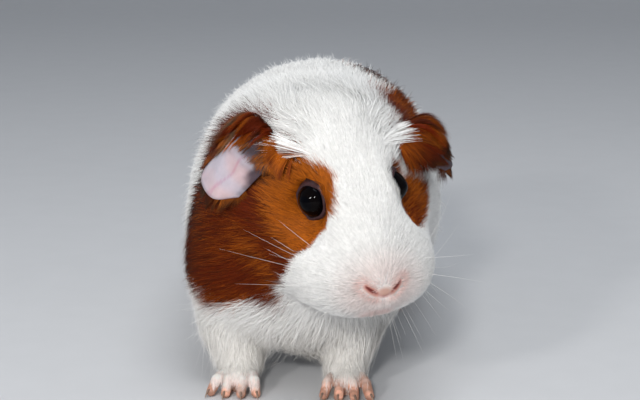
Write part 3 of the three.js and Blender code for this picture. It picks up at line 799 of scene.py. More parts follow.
# for each look a noise's scale and detail, how it shades the tone and the gloss, its bump's strength and
# depth, and the shader's own values; the skin's tone has a second, coarser noise
looks = {
    "Coat": {"grain": (900, 2), "tone": (0.82, 1.14), "gloss": (0.42, 0.62), "bump": (0.25, 0.0002),
             "own": {"Specular IOR Level": 0.07}},
    "Skin": {"grain": (1100, 4), "mottle": (220, 3), "tone": (0.8, 1.2), "gloss": (0.34, 0.6),
             "bump": (0.35, 0.00025),
             "own": {"Specular IOR Level": 0.24, "Subsurface Weight": 0.12,
                     "Subsurface Radius": (1.0, 0.4, 0.25), "Subsurface Scale": 0.0012}},
    "Eye": {"grain": (700, 4), "tone": (0.6, 1.4), "gloss": (0.015, 0.035),
            "own": {"Specular IOR Level": 0.08, "IOR": 1.4}},
    "Claw": {"grain": (500, 3), "tone": (0.7, 1.25), "gloss": (0.25, 0.42), "bump": (0.2, 0.0001)},
    "Whisker": {"grain": (600, 2), "tone": (0.9, 1.08), "gloss": (0.25, 0.4)},
}


def nodeMaterial(name):
    # a new material with its nodes, links and shader
    material = bpy.data.materials.new(name)
    material.use_nodes = True
    nodes = material.node_tree.nodes
    links = material.node_tree.links
    return material, nodes, links, nodes["Principled BSDF"]


def noiseNode(nodes, links, scale, detail, roughness=0.6):
    # a noise over the object's own coordinates
    coordinates = nodes.new("ShaderNodeTexCoord")
    noise = nodes.new("ShaderNodeTexNoise")
    noise.inputs["Scale"].default_value = scale
    noise.inputs["Detail"].default_value = detail
    noise.inputs["Roughness"].default_value = roughness
    links.new(coordinates.outputs["Object"], noise.inputs["Vector"])
    return noise


def rangeNode(nodes, links, source, low, high):
    # a value from 0 to 1 stretched to run from low to high
    node = nodes.new("ShaderNodeMapRange")
    node.inputs["To Min"].default_value = low
    node.inputs["To Max"].default_value = high
    links.new(source, node.inputs["Value"])
    return node.outputs["Result"]


def toneNode(nodes, links, shade):
    # the coatColour attribute, darkened and lightened by a shade
    tone = nodes.new("ShaderNodeAttribute")
    tone.attribute_name = "coatColour"
    blend = nodes.new("ShaderNodeMix")
    blend.data_type = "RGBA"
    blend.blend_type = "MULTIPLY"
    blend.inputs["Factor"].default_value = 1
    links.new(tone.outputs["Color"], blend.inputs["A"])
    links.new(shade, blend.inputs["B"])
    return blend.outputs["Result"]


def lookOf(name):
    # a procedural material: the coatColour attribute shaded by a noise that also sets gloss and relief
    look = looks[name]
    material, nodes, links, shader = nodeMaterial("guineaPig" + name)
    grain = noiseNode(nodes, links, *look["grain"]).outputs["Fac"]
    mottle = noiseNode(nodes, links, *look["mottle"]).outputs["Fac"] if "mottle" in look else grain
    tone = toneNode(nodes, links, rangeNode(nodes, links, mottle, *look["tone"]))
    links.new(tone, shader.inputs["Base Color"])
    links.new(rangeNode(nodes, links, grain, *look["gloss"]), shader.inputs["Roughness"])
    if "bump" in look:
        bump = nodes.new("ShaderNodeBump")
        bump.inputs["Strength"].default_value, bump.inputs["Distance"].default_value = look["bump"]
        links.new(grain, bump.inputs["Height"])
        links.new(bump.outputs["Normal"], shader.inputs["Normal"])
    for key, value in look.get("own", {}).items():
        shader.inputs[key].default_value = value
    return material


materials = {name: lookOf(name) for name in looks}


def dress(piece, look, slot, *nodes):
    # a piece's material, its body and the nodes it stands for; the slot is not used
    piece.data.materials.append(materials[look])
    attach(piece, "root")
    if nodes:
        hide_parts(*nodes)


skinParts = [(skinPoints, skinQuads, skinTone(skinPoints))]
for side in (-1, 1):
    skinParts += [earPiece(side), lidPiece(side)]
skin = meshFrom("skin", *joined(skinParts))
fleshNodes = [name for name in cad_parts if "claw" not in name and "eye" not in name]
dress(skin, "Skin", "white_coat", *fleshNodes)
print("skin", len(skin.data.polygons), "faces")


eyeball = {"rows": 40, "spokes": 64, "cornea": 0.35, "corneaReach": 38, "pupil": 24,
           "black": (0.0008, 0.0008, 0.0016), "brown": (0.002, 0.0012, 0.0012)}


def buildEye(side, name):
    # rings about the way the eye looks; the cornea swells a little over the ball
    way, back, up = eyeAxes(side)
    polar = np.linspace(0, np.pi, eyeball["rows"])[1:-1, None]
    angle = np.linspace(0, 2 * np.pi, eyeball["spokes"], endpoint=False)[None, :]
    radius = eye["radius"] + eyeball["cornea"] * smoothStep(math.radians(eyeball["corneaReach"]), 0, polar)
    spoke = np.cos(angle)[..., None] * back + np.sin(angle)[..., None] * up
    rings = (radius * np.cos(polar))[..., None] * way + (radius * np.sin(polar))[..., None] * spoke
    poles = np.array([way * (eye["radius"] + eyeball["cornea"]), -way * eye["radius"]])
    points = np.concatenate([rings.reshape(-1, 3), poles]) + eyeCentre(side)
    faces = closedFaces(eyeball["rows"] - 2, eyeball["spokes"])
    out = np.degrees(np.arccos(np.clip(unit(points - eyeCentre(side)) @ way, -1, 1)))
    iris = smoothStep(eyeball["pupil"], eyeball["pupil"] + 5, out) * smoothStep(62, 50, out)
    tone = mix(np.array(eyeball["black"]), np.array(eyeball["brown"]), iris[:, None])
    piece = meshFrom(name + "_ball", points, faces if side < 0 else faces[:, ::-1], tone)
    dress(piece, "Eye", "eye_black", name)


for side, name in ((-1, "eye_right"), (1, "eye_left")):
    buildEye(side, name)


def tube(path, radii, sides, up=(0, 0, 1)):
    # a round profile carried along a path, closed by a point at each end
    ahead = unit(np.gradient(path, axis=0))
    aside = unit(np.cross(ahead, np.array(up, float) + [0.013, 0.007, 0]))
    above = np.cross(aside, ahead)
    angle = np.linspace(0, 2 * np.pi, sides, endpoint=False)
    ring = np.cos(angle)[None, :, None] * aside[:, None] + np.sin(angle)[None, :, None] * above[:, None]
    points = path[:, None] + radii[:, None, None] * ring
    return np.concatenate([points.reshape(-1, 3), path[:1], path[-1:]]), closedFaces(len(path), sides)


def buildClaws():
    # each claw curves down from its toe to a worn point
    t = np.linspace(0, 1, claw["rings"])[:, None]
    radii = claw["radius"] * (1 - 0.78 * t.ravel() ** 1.4)
    share = np.concatenate([np.repeat(t.ravel(), claw["sides"]), [0, 1]])[:, None]
    tone = mix(np.array(claw["foot"]), np.array(claw["tip"]), share)
    for limb in legs:
        for i, line in enumerate(toeLines(limb)):
            tip, way = line[2:]
            start = tip + way * toe["radius"] * 0.1 + [0, 0, 0.55]
            end = start + way * (claw["length"] + 0.4)
            end[2] = 0.45
            path = start + (end - start) * t + [0, 0, 0.75] * np.sin(np.pi * t)
            points, faces = tube(path, radii, claw["sides"])
            points[:, 2] = np.maximum(points[:, 2], 0.05)
            name = f"{limb['name']}_claw_{i + 1}"
            dress(meshFrom(name + "_horn", points, faces, tone), "Claw", "claw_horn", name)


buildClaws()
print("eyes and claws")

# the coat is flat tapering tufts combed over the skin
combSpacing = 1.5


def combGrid():
    # distance to the coat's outline and its slope, on an even lattice
    axes = [np.arange(low, high, combSpacing) for low, high in ((-66, 62), (-66, 162), (-9, 108))]
    values = latticeValues(bodyDistance, axes, 3, 16)
    slopes = np.stack(np.gradient(values, combSpacing), -1)
    origin = np.array([axis[0] for axis in axes])
    return origin, np.concatenate([values[..., None], slopes], -1).astype(np.float32)


combOrigin, combValues = combGrid()


def combed(points):
    # the lattice's distance and way out, taken between its eight nearest values
    at = (points - combOrigin) / combSpacing
    low = np.clip(at.astype(int), 0, np.array(combValues.shape[:3]) - 2)
    f = np.clip(at - low, 0, 1)
    total = 0
    for i in (0, 1):
        for j in (0, 1):
            for k in (0, 1):
                share = ((f[:, 0] if i else 1 - f[:, 0]) * (f[:, 1] if j else 1 - f[:, 1])
                         * (f[:, 2] if k else 1 - f[:, 2]))
                total = total + share[:, None] * combValues[low[:, 0] + i, low[:, 1] + j, low[:, 2] + k]
    return total[:, 0], unit(total[:, 1:])


def lieOfCoat(points, normals):
    # the way the coat lies: back from the nose and spreading over the head, towards the tail and down
    # the sides on the trunk, down the breast and legs, towards the toes on the feet, and clear of eyes
    inHead = toHead(points)
    hx, hy, hz = inHead.T
    x, y, z = points.T
    fan = unit(inHead - [0, -36, -11]) + rowsOf(0.012 * hx, 0.45, -0.06)
    fan[:, 2] -= 0.75 * (smoothStep(0, -26, hz) * smoothStep(-24, 4, hy))
    overEar = smoothStep(1, 0.4, gapTo(inHead * [0, 1, 1], [0, 17, 10], [1, 13, 13]))
    fan[:, 0] += 1.3 * overEar * np.sign(hx) * smoothStep(4, 12, np.abs(hx))
    headShare = (smoothStep(46, 20, hy) * smoothStep(-52, -40, hz))[:, None]
    sideways = (x + 3) / 40
    trunk = rowsOf(0.18 * sideways, 1, -0.30 - 0.30 * np.abs(sideways))
    crest = unit(points - fromHead([0, 4, 6])) + [0, 0.35, 0]
    for own, share in ((rowsOf(0.35 * sideways, 0.05, -1), smoothStep(34, 4, y) * smoothStep(62, 40, z)),
                       (crest, smoothStep(54, 68, z) * smoothStep(105, 62, y)),
                       (np.array([0, -0.1, -1]), smoothStep(30, 18, z)),
                       (np.array([0, -1, -0.25]), smoothStep(8.5, 5.5, z))):
        trunk = mix(trunk, own, share[:, None])
    way = mix(unit(trunk), unit(fan) @ headAxes.T, headShare)
    way = unit(across(way, normals))
    for side in (-1, 1):
        out = points - eyeCentre(side) - eyeWay(side) * 2
        share = smoothStep(13, 6, gapTo(out, 0))[:, None]
        out = unit(across(out, normals))
        inward = np.minimum(np.sum(way * out, 1), 0)[:, None]
        way = way + share * (0.22 - 1.15 * inward) * out
    return unit(across(way, normals))


coat = {
    "roots": 300000,
    "seed": 7,
    "lengthPerDepth": 3.1,  # a tuft's length for each millimetre of coat depth
    "width": (0.15, 0.23, 0.5),  # on the face, the breast and shoulders, and the trunk
    "profile": {2: (0.9, 0.85), 3: (0.8, 1.0, 0.62)},  # parts of the width, from foot to tip
    "sunk": 0.25,  # how far a tuft's root lies under the skin
    "mostShift": 3.5,  # the most that a step of a tuft may be moved to its height
    "stray": 0.16,  # spread of a tuft's lean to either side
    "roll": 0.35,  # spread of its turn about its own length, in radians
    "blush": (0, -30.5, -14),  # the middle of the pink round the nose, in head axes
    "mostTriangles": 199000,  # in one piece
}


def eyeClearance(points):
    # distance outside the lids, from the nearer eye
    nearest = np.full(len(points), 99.0)
    for side in (-1, 1):
        way, back, up = eyeAxes(side)
        out = points - eyeCentre(side)
        ahead = out @ way
        b, u = out @ back, out @ up
        aside = np.hypot(b, u)
        gap = aside - lidOpening(np.arctan2(u, b)) - lids["width"]
        nearest = np.where(ahead > -1, np.minimum(nearest, gap), nearest)
    return nearest


def rootDensity(points):
    # tufts for each square millimetre: dense and fine on the face, sparser and longer behind
    inHead = toHead(points)
    y, z = points.T[1:]
    shown = smoothStep(58, 22, y) + 0.7 * smoothStep(95, 50, y) * smoothStep(60, 74, z)
    density = 2.2 + 9 * smoothStep(32, 6, inHead[:, 1]) + 4.2 * np.minimum(shown, 1)
    return np.where(z < 9, 6, density + 5 * smoothStep(-8, -22, inHead[:, 1]))


def scatterRoots(points, quads, count, rng):
    # even strides through the running total of area times density, then a random spot in each triangle
    triangles = halved(quads)
    a, b, c = (points[triangles[:, k]] for k in range(3))
    middle = (a + b + c) / 3
    order = np.argsort(np.round(middle[:, 1] / 3) * 1000 + np.arctan2(middle[:, 2] - 50, middle[:, 0]))
    a, b, c, middle = a[order], b[order], c[order], middle[order]
    area = np.linalg.norm(np.cross(b - a, c - a), axis=1) / 2
    total = np.cumsum(area * rootDensity(middle))
    picks = (np.arange(count) + rng.random(count)) / count * total[-1]
    chosen = np.minimum(np.searchsorted(total, picks), len(total) - 1)
    r, s = rng.random(count), rng.random(count)
    flip = r + s > 1
    r, s = np.where(flip, 1 - r, r)[:, None], np.where(flip, 1 - s, s)[:, None]
    return a[chosen] + r * (b[chosen] - a[chosen]) + s * (c[chosen] - a[chosen])


def cellChance(cells, salt):
    # a repeatable random number for each whole-number cell
    mixed = np.sin(cells @ np.array([12.9898, 78.233, 37.719]) + salt) * 43758.5453
    return mixed - np.floor(mixed)


def clumpPull(points, size):
    # the way from each root to a chosen spot of its cell, so that neighbours' tips draw together
    bent = points + 0.45 * size * np.stack([ripple(points, size * 1.3, s) for s in (0.3, 1.9, 3.7)], 1)
    cells = np.floor(bent / size)
    spot = np.stack([cellChance(cells, s) for s in (1.0, 2.0, 3.0)], 1)
    return (cells + 0.25 + 0.5 * spot) * size - bent, cellChance(cells, 5.0)


def growTufts(roots, length, rise, steps, rng):
    # every tuft follows the lie of the coat: at each step it goes on by a part of its length, and is set
    # at its height under the coat's outline, which it nears as the sine of its way
    count = len(roots)
    start, normals = combed(roots)
    depth = np.maximum(-start, 0.05)
    pull = np.zeros_like(roots)
    back = smoothStep(2, 26, toHead(roots)[:, 1])
    for cellSize, share, uneven in ((1.1, 1 - back, 0.22), (2.8, back, 0.34)):
        own, chance = clumpPull(roots, cellSize)
        pull += own * share[:, None]
        rise = rise + uneven * share * (chance - 0.55)
    lean = coat["stray"] * rng.standard_normal((count, 1))
    roll = coat["roll"] * rng.standard_normal((count, 1))
    place = roots - coat["sunk"] * normals
    spine, sides = [place], []
    for step in range(1, steps + 1):
        way = lieOfCoat(place, normals)
        aside = np.cross(way, normals)
        sides.append(unit(aside * np.cos(roll) + normals * np.sin(roll)))
        way = unit(way + lean * aside)
        place = place + way * (length / steps)[:, None] + across(pull, way) * 0.5 / steps
        distance, normals = combed(place)
        target = -depth * (1 - rise * math.sin(math.pi / 2 * (step / steps)))
        shift = np.clip(target - distance, -coat["mostShift"], coat["mostShift"])
        place = place + shift[:, None] * normals
        spine.append(place)
    return np.stack(spine, 1), np.stack(sides, 1)


def tuftFaces(count, steps):
    # two triangles between each pair of points and the next, and one at the tip
    faces = []
    for a in range(0, 2 * steps - 2, 2):
        faces += [(a, a + 2, a + 3), (a, a + 3, a + 1)]
    faces.append((2 * steps - 2, 2 * steps, 2 * steps - 1))
    each = 2 * steps + 1
    return (np.arange(count)[:, None, None] * each + np.array(faces)[None]).reshape(-1, 3)


def zoneOf(points):
    # which coat piece a root belongs to
    hx, hy, hz = toHead(points).T
    x, y = points.T[:2]
    head = (hy < 34) & (hz > -40) & (y < 22)
    zone = np.where(y < 30, 4, np.where(y < 62, 6, np.where(y < 98, 8, 10))) + np.where(x < -2, 0, 1)
    headZone = np.where(hy < -6, 0, np.where(np.abs(hx) < 10, 1, np.where(hx < 0, 2, 3)))
    return np.where(head, headZone, zone)


zoneNames = ["face", "crown", "cheek_right", "cheek_left", "breast_right", "breast_left", "shoulder_right",
             "shoulder_left", "barrel_right", "barrel_left", "rump_right", "rump_left"]


bakePatch = 0.003


def bakePlace(points, isHead):
    # the tufts' place on an unwrap of the skin's own shape: the turn about the head's or the trunk's own
    # axis, and the place along it
    x, y, z = (toHead(points) - [0, 0, -10] if isHead else points - [-3, 0, 46]).T
    low, high = (-34, 60) if isHead else (-30, 150)
    place = np.stack([np.arctan2(x, z) / (2 * np.pi) + 0.5, (y - low) / (high - low)], 1)
    return np.clip(place, 0.004, 0.996)


def alongTuft(steps):
    # how far along a tuft each of its points lies, counted from 0 to 1 over them
    return np.linspace(0, 1, 2 * steps + 1)[None, :, None]


def hairPiece(name, slot, spine, sides, width, colours, place, tip=0):
    # ribbons along the spines that narrow to a point, each with its own patch on the unwrap; tip is where
    # across the patch the point lies
    count, steps = sides.shape[:2]
    half = (width[:, None] * np.array(coat["profile"][steps]) / 2)[..., None]
    pairs = np.stack([spine[:, :steps] + sides * half, spine[:, :steps] - sides * half], 2)
    points = np.concatenate([pairs.reshape(count, steps * 2, 3), spine[:, steps:]], 1).reshape(-1, 3)
    points[:, 2] = np.maximum(points[:, 2], 0.05)
    s = np.arange(2 * steps + 1)
    spot = np.stack([np.where(s % 2, 0.5, -0.5), s // 2 / steps - 0.5], 1) * bakePatch
    spot[-1] = [tip * bakePatch, bakePatch / 2]
    patches = (place[:, None] + spot[None]).reshape(-1, 2)
    faces = tuftFaces(count, steps)
    piece = meshFrom(name, points, faces, colours.reshape(-1, 3), patches=patches)
    dress(piece, "Coat", slot)
    print(name, count, "tufts", len(faces), "triangles")


def buildCoat():
    # roots all over the skin; length, lift, width and tone then vary with the place on the body
    rng = np.random.default_rng(coat["seed"])
    roots = scatterRoots(skinPoints, skinQuads, coat["roots"], rng)
    clear = eyeClearance(roots)
    keep = (clear > 0.1) & (rng.random(len(roots)) > 1.2 * bareShare(roots) - 0.1) & (roots[:, 2] >= 1.2)
    roots, clear = roots[keep], clear[keep]
    inHead = toHead(roots)
    hx, hy, hz = inHead.T
    y, z = roots.T[1:]
    out = np.abs(hx)
    depth = np.maximum(-combed(roots)[0], 0)
    zones = zoneOf(roots)
    count = len(roots)
    faceShare = smoothStep(30, -2, hy)
    crown = smoothStep(-4, 12, hy) * smoothStep(60, 30, hy) * smoothStep(-4, 8, hz)
    breast = smoothStep(20, 0, y) * smoothStep(40, 26, z) * smoothStep(9, 14, z)
    length = np.clip(coat["lengthPerDepth"] * depth, 1.2, 17) * (0.75 + 0.5 * rng.random(count))
    jowl = smoothStep(-16, -26, hz) * smoothStep(-22, -8, hy) * faceShare
    length *= 1 + 0.7 * crown + 0.5 * breast + 0.9 * jowl
    noseGap = nostrilDistance(inHead)
    length *= 0.55 + 0.45 * smoothStep(1, 5, noseGap)
    length = np.where(z < 9, np.maximum(length, 2.2 + 1.8 * rng.random(count)), length)
    length = np.minimum(length, 1.3 + 1.6 * np.maximum(clear, 0))
    length = length * (1 + 0.5 * smoothStep(9, 13, out) * crown)
    rise = 0.80 + 0.24 * rng.random(count) + 0.12 * crown * rng.random(count)
    rise = rise + 0.35 * breast * rng.random(count) ** 2 + 0.6 * jowl * rng.random(count)
    overRoot = smoothStep(5, 9, out) * smoothStep(18, 14, out) * smoothStep(3, 8, hy)
    overRoot = overRoot * smoothStep(34, 28, hy) * smoothStep(2, 6, hz)
    rise = rise + overRoot * (0.3 + 0.9 * rng.random(count))
    ruff = smoothStep(-6, 2, y) * smoothStep(40, 26, y) * smoothStep(74, 79, z)
    rise = rise + 0.5 * ruff * rng.random(count)
    brow = eyeCentre(1) + 2.5 * eyeWay(1) + 6.5 * unit(across(headWay([0, -1, 0]), eyeWay(1)))
    rise = rise + 0.9 * smoothStep(5.5, 2.5, gapTo(roots, brow)) * rng.random(count)
    guard = rng.random(count) < 0.05 + 0.03 * crown + 0.10 * breast
    rise = np.where(guard & (faceShare < 0.5), rise + 0.15 + 0.35 * rng.random(count), rise)
    length = np.where(guard, length * 1.3, length)
    front = np.maximum(smoothStep(66, 30, y), smoothStep(100, 60, y) * smoothStep(58, 72, z))
    onFace, onBreast, onTrunk = coat["width"]
    width = between((onTrunk, onBreast), front)
    width = width + (onFace - width) * faceShare
    width = width * (1 - 0.25 * smoothStep(-8, -22, hy))
    width = width * (0.7 + 0.6 * rng.random(count)) * np.where(guard, 0.5, 1)
    chance = rng.random((count, 4))
    uneven = 0.08 + 0.10 * crown
    shade = (0.90 + 0.17 * rng.random(count)) * (1 - uneven * cellChance(np.floor(roots / 2.6), 9.0))
    blush = gapTo(inHead, coat["blush"], [8, 8, 7])
    flush = 0.26 * smoothStep(1.8, 0.6, blush) + 0.35 * smoothStep(9, 5, z)
    flush = flush + 0.35 * smoothStep(3.2, 1.0, noseGap) * smoothStep(-26, -29, hy)
    flush = np.minimum(flush + 0.35 * smoothStep(5.5, 2.5, gapTo(inHead, face["lips"])), 0.8)
    for k, name in enumerate(zoneNames):
        mine = np.flatnonzero(zones == k)
        steps = 2 if k < 4 else 3
        limit = coat["mostTriangles"] // (2 * steps - 1)
        if len(mine) > limit:
            print("coat", name, "has", len(mine), "tufts, cut to", limit)
            mine = rng.permutation(mine)[:limit]
        spine, sides = growTufts(roots[mine], length[mine], rise[mine], steps, rng)
        # tones run from foot to tip, flushed with pink
        foot, tip = coatTones(spine[:, (steps + 1) // 2], chance[mine])
        share = alongTuft(steps)
        colours = mix(foot[:, None], tip[:, None], share)
        colours = mix(colours, tones["pink"] * 1.2, flush[mine][:, None, None])
        colours = np.clip(colours * shade[mine][:, None, None] * (0.90 + 0.14 * share), 0, 0.94)
        place = bakePlace(roots[mine], k < 4)
        hairPiece("coat_" + name, "white_coat", spine, sides, width[mine], colours, place)


buildCoat()

# hair on the ears grows from the root outwards over the crest, and leaves the flap bare
earCoat = {
    "seed": 11,
    "roots": 19000,
    "length": (3.6, 9.0),  # at the edge of what is rooted, and by the root
    "width": 0.165,
    "steps": 3,
    "places": (0, 0.12, 0.25, 0.36, 0.5, 0.8, 1),  # from front to back
    "reach": {-1: (0.56, 0.44, 0.42, 0.55, 0.66, 0.94, 0.98),  # how far towards the rim it is rooted
              1: (0.86, 0.86, 0.87, 0.88, 0.89, 0.91, 0.92)},
    "covering": {-1: 1500, 1: 400},  # hairs of the head that cross the root
    "start": {-1: 0.06, 1: 0.13},  # nearer the root than this the head's own coat covers the ear
    "fringeLength": {-1: (3.5, 4.0), 1: (1.6, 2.4)},  # least, and how much more
    "fringe": 0.11,  # share of roots along the rim
    "fuzz": 0.22,  # share of roots on the near flap's dark part
    "locks": 15,  # from front to back
}


def earSlopes(side, u, v, e):
    # the steps along u and along v across a small spread about a place on the ear
    return (earPoint(side, np.minimum(u + e, 1), v) - earPoint(side, np.maximum(u - e, 0), v),
            earPoint(side, u, np.minimum(v + e, 1)) - earPoint(side, u, np.maximum(v - e, 0)))


def earNormal(side, u, v):
    # the way out of the ear's upper face, across both slopes
    return unit(np.cross(*earSlopes(side, u, v, 0.01))) * side


def earPlace(u, v):
    # where an ear's hairs lie on the unwrap: u and v, with a margin
    return np.stack([0.02 + 0.96 * u, 0.02 + 0.96 * v], 1)


def buildEarCoat(side, name):
    # each hair follows the ear's face towards the rim, lifting a little, in locks that share a lean; some
    # line the rim from beneath, and a fine short fuzz veils the dark part of the near flap
    rng = np.random.default_rng(earCoat["seed"])
    count = earCoat["roots"]
    v = rng.random(count)
    fringe = rng.random(count) < earCoat["fringe"]
    reach = np.interp(v, earCoat["places"], earCoat["reach"][side])
    u = np.where(fringe, 0.90 + 0.09 * rng.random(count), reach * rng.random(count))
    fuzz = (rng.random(count) < earCoat["fuzz"]) & (side < 0) & (v < 0.45) & ~fringe
    u = np.where(fuzz, 0.26 + 0.38 * rng.random(count), u)
    thin = fuzz | (rng.random(count) < 0.35 + 0.65 * smoothStep(0, 0.12, reach - u))
    keep = (fringe | thin) & (u < 0.995) & (u > earCoat["start"][side])
    u, v, fringe, fuzz, reach = u[keep], v[keep], fringe[keep], fuzz[keep], reach[keep]
    count = len(u)
    along = v * earCoat["locks"] + 1.3 * np.sin(5 * u) + 0.4 * np.sin(23 * v)
    inwards = np.floor(2.2 * u + cellChance(np.floor(along)[:, None] * [1, 0, 0], 4.0))
    lock = rowsOf(inwards, np.floor(along), 0)
    length = between(earCoat["length"], smoothStep(0.05, 0.45, reach - u)) * (0.75 + 0.45 * rng.random(count))
    span = gapTo(earPoint(side, np.minimum(u + 0.02, 1), v), earPoint(side, u - 0.02, v))
    span = span / (np.minimum(u + 0.02, 1) - u + 0.02)
    length = np.minimum(length, 1.2 + (1 - u) * span)
    least, more = earCoat["fringeLength"][side]
    least = least + 2.2 * smoothStep(0.55, 0.1, v) * (side > 0)
    length = np.where(fringe, least + more * rng.random(count), length)
    length = np.where(fuzz, 1.4 + 1.6 * rng.random(count), length)
    face = np.where(fringe | ((rng.random(count) < 0.15) & ~fuzz), -1.0, 1.0)
    start = earPoint(side, u, v) + earNormal(side, u, v) * (0.3 * face)[:, None]
    down = np.array([0.0, 0.1, -1.0])
    steps = earCoat["steps"]
    place, reached = start, u
    spine, sides = [start], []
    lean = 0.07 * rng.standard_normal(count) + 0.10 + 0.5 * (cellChance(lock, 1.0) - 0.5)
    lean = lean - 0.45 * (along - np.floor(along) - 0.5) - 1.1 * smoothStep(0.09, 0.0, v)
    lift = 0.06 + 0.10 * rng.random(count) + 0.22 * cellChance(lock, 2.0) * smoothStep(0.0, 0.3, u)
    lift = lift + (0.14 if side < 0 else 0) * smoothStep(0.5, 0.2, u)
    for step in range(steps):
        normal = earNormal(side, reached, v) * face[:, None]
        alongU, alongV = (slope / 0.04 for slope in earSlopes(side, reached, v, 0.02))
        way = unit(unit(alongU) + lean[:, None] * unit(alongV) + lift[:, None] * normal
                   + (0.35 * fringe)[:, None] * down)
        place = place + way * (length / steps)[:, None]
        reached = np.clip(reached + length / steps / np.maximum(gapTo(alongU, 0), 4), 0, 1)
        sides.append(unit(np.cross(way, normal)))
        spine.append(place)
    spine, sides = np.stack(spine, 1), np.stack(sides, 1)
    width = earCoat["width"] * (0.7 + 0.6 * rng.random(count)) * np.where(fringe, 0.7, np.where(fuzz, 0.5, 1))
    outer = smoothStep(0.35, 0.95, u + 0.15 * ripple(start, 4, 5.0))
    hollow = smoothStep(0.22, 0.34, u) * smoothStep(0.42, 0.28, v) * (side < 0)
    dark = (0.08 if side < 0 else 0.40) + 0.45 * outer * (side > 0) + 0.5 * hollow
    dark = dark + 0.2 * smoothStep(0.2, 0, v) * (side > 0)
    dark = np.where(fringe, 0.9, dark)
    light = ripple(start, 5, 2.0) + 1.2 * cellChance(lock, 6.0) - 0.9
    light = light + (0.7 if side < 0 else 0) * smoothStep(0.4, 0.1, v)
    warm = mix(tones["ginger"], tones["amber"], smoothStep(-0.5, 0.7, light)[:, None])
    # painted sheen: about a third of the locks on the back half of the near ear are greyed towards ash, for
    # the cool sheen on brown hair; half of the fuzz hairs take the same grey
    ashen = (smoothStep(0.62, 0.75, cellChance(lock, 7.0)) * smoothStep(0.3, 0.5, v) * (side < 0))[:, None]
    ashen = np.maximum(ashen, (fuzz & (rng.random(count) < 0.5))[:, None])
    warm = warm * (1 - 0.7 * ashen) + tones["ash"] * 0.7 * ashen
    black = smoothStep(-0.2, 0.2, dark - 0.5 * (rng.random(count) + cellChance(lock, 8.0)))[:, None]
    tip = mix(warm, tones["umber"], black)
    shade = ((0.85 + 0.3 * rng.random(count)) * (0.8 + 0.4 * cellChance(lock, 9.0)))[:, None, None]
    colours = mix(warm[:, None] * (1 - 0.5 * black[:, None]), tip[:, None], alongTuft(steps)) * shade
    hairPiece(name, "ginger_coat", spine, sides, width, colours, earPlace(u, v), -0.5)


def buildEarCover(side, name):
    # hairs of the head that cross the ear's root: each rises from under the coat before it, arches over and
    # ends on the ear, as a parabola through its start, its top and its end
    rng = np.random.default_rng(earCoat["seed"] + 2)
    count, steps = earCoat["covering"][side], earCoat["steps"]
    v = rng.random(count) ** 1.4
    away = (0.5 + 8.0 * rng.random(count))[:, None]
    root = earPoint(side, np.full(count, 0.08), v) + away * headWay([-0.65 * side, -0.75, 0.2])
    for turn in range(2):
        distance, normals = combed(root)
        root = root - (distance + 1.2)[:, None] * normals
    u = 0.08 + 0.52 * rng.random(count) ** 2.4
    back = np.clip(v + 0.12 + 0.07 * rng.standard_normal(count), 0, 1)
    out = earNormal(side, u, back)
    end = earPoint(side, u, back) + 0.7 * out
    arch = (root + end) / 2 + unit(normals + out) * (1.4 + 1.6 * rng.random(count))[:, None]
    t = np.linspace(0, 1, steps + 1)[None, :, None]
    spine = root[:, None] * (1 - t) ** 2 + 2 * arch[:, None] * t * (1 - t) + end[:, None] * t ** 2
    way = unit(np.diff(spine, axis=1).reshape(-1, 3))
    sides = unit(np.cross(way, np.repeat(unit(normals + out), steps, 0))).reshape(count, steps, 3)
    width = 0.85 * earCoat["width"] * (0.7 + 0.6 * rng.random(count))
    inward = 0.5 * rng.random(count)[:, None] if side < 0 else 0
    foot, tip = coatTones(root + inward * (end - root), rng.random((count, 4)))
    colours = mix(foot[:, None], tip[:, None], alongTuft(steps))
    colours = colours * (0.88 + 0.2 * rng.random(count))[:, None, None]
    hairPiece(name, "white_coat", spine, sides, width, colours, earPlace(u, v), -0.5)


for build, name in ((buildEarCoat, "coat_ear"), (buildEarCover, "coat_ear_root")):
    build(-1, name + "_right")
    build(1, name + "_left")

whiskers = {
    "seed": 21,
    "rows": 5,
    "each": 3,
    "front": (-25, -11),  # head y of the front and back of the pads
    "levels": (-9, -23),
    "length": (18, 40),
    "radius": 0.046,
    "rings": 16,
    "chin": 8,
    "chinLength": (11, 9),  # least, and how much more
    "chinRings": 12,
    "tone": (0.85, 0.82, 0.78),
}


def rooted(place):
    # the place on the skin nearest to one given in head millimetres
    guess = fromHead([place])
    for turn in range(6):
        guess = settled(guess, skinDistance, 0.0, 4)
    return guess[0]


def fineHair(start, way, bend, length, curl, radius, rings):
    # a straight way plus a bend that grows as the square of the distance
    t = np.linspace(0, 1, rings)[:, None]
    way, bend = headWay(unit(np.array(way))), headWay(unit(np.array(bend)))
    path = start + way * length * t + bend * length * curl * t ** 2
    points, faces = tube(path, radius * (1 - 0.8 * t.ravel()), 4)
    return points, faces, np.tile(whiskers["tone"], (len(points), 1))


def whiskerSet(side, rng):
    # rows of hairs from the pad: the front ones short and forward, the back ones long and swept back
    parts = []
    for row in range(whiskers["rows"]):
        down = row / (whiskers["rows"] - 1)
        for i in range(whiskers["each"]):
            share = i / (whiskers["each"] - 1)
            y = between(whiskers["front"], share) + rng.normal()
            start = rooted([side * 15, y, between(whiskers["levels"], down) + rng.normal()])
            length = between(whiskers["length"], share)
            length *= 0.7 + 0.5 * rng.random()
            tilt = 0.30 - 0.95 * down + 0.12 * rng.normal() - (0.25 if side > 0 else 0)
            aside = 0.9 - 0.45 * share if side < 0 else 0.62 - 0.34 * share
            bend = [side * 0.05, 0.9, -0.45 + 0.2 * rng.normal()]
            way = [side * aside, -0.05 + 1.0 * share, tilt]
            parts.append(fineHair(start, way, bend, length, 0.3, whiskers["radius"], whiskers["rings"]))
    return parts


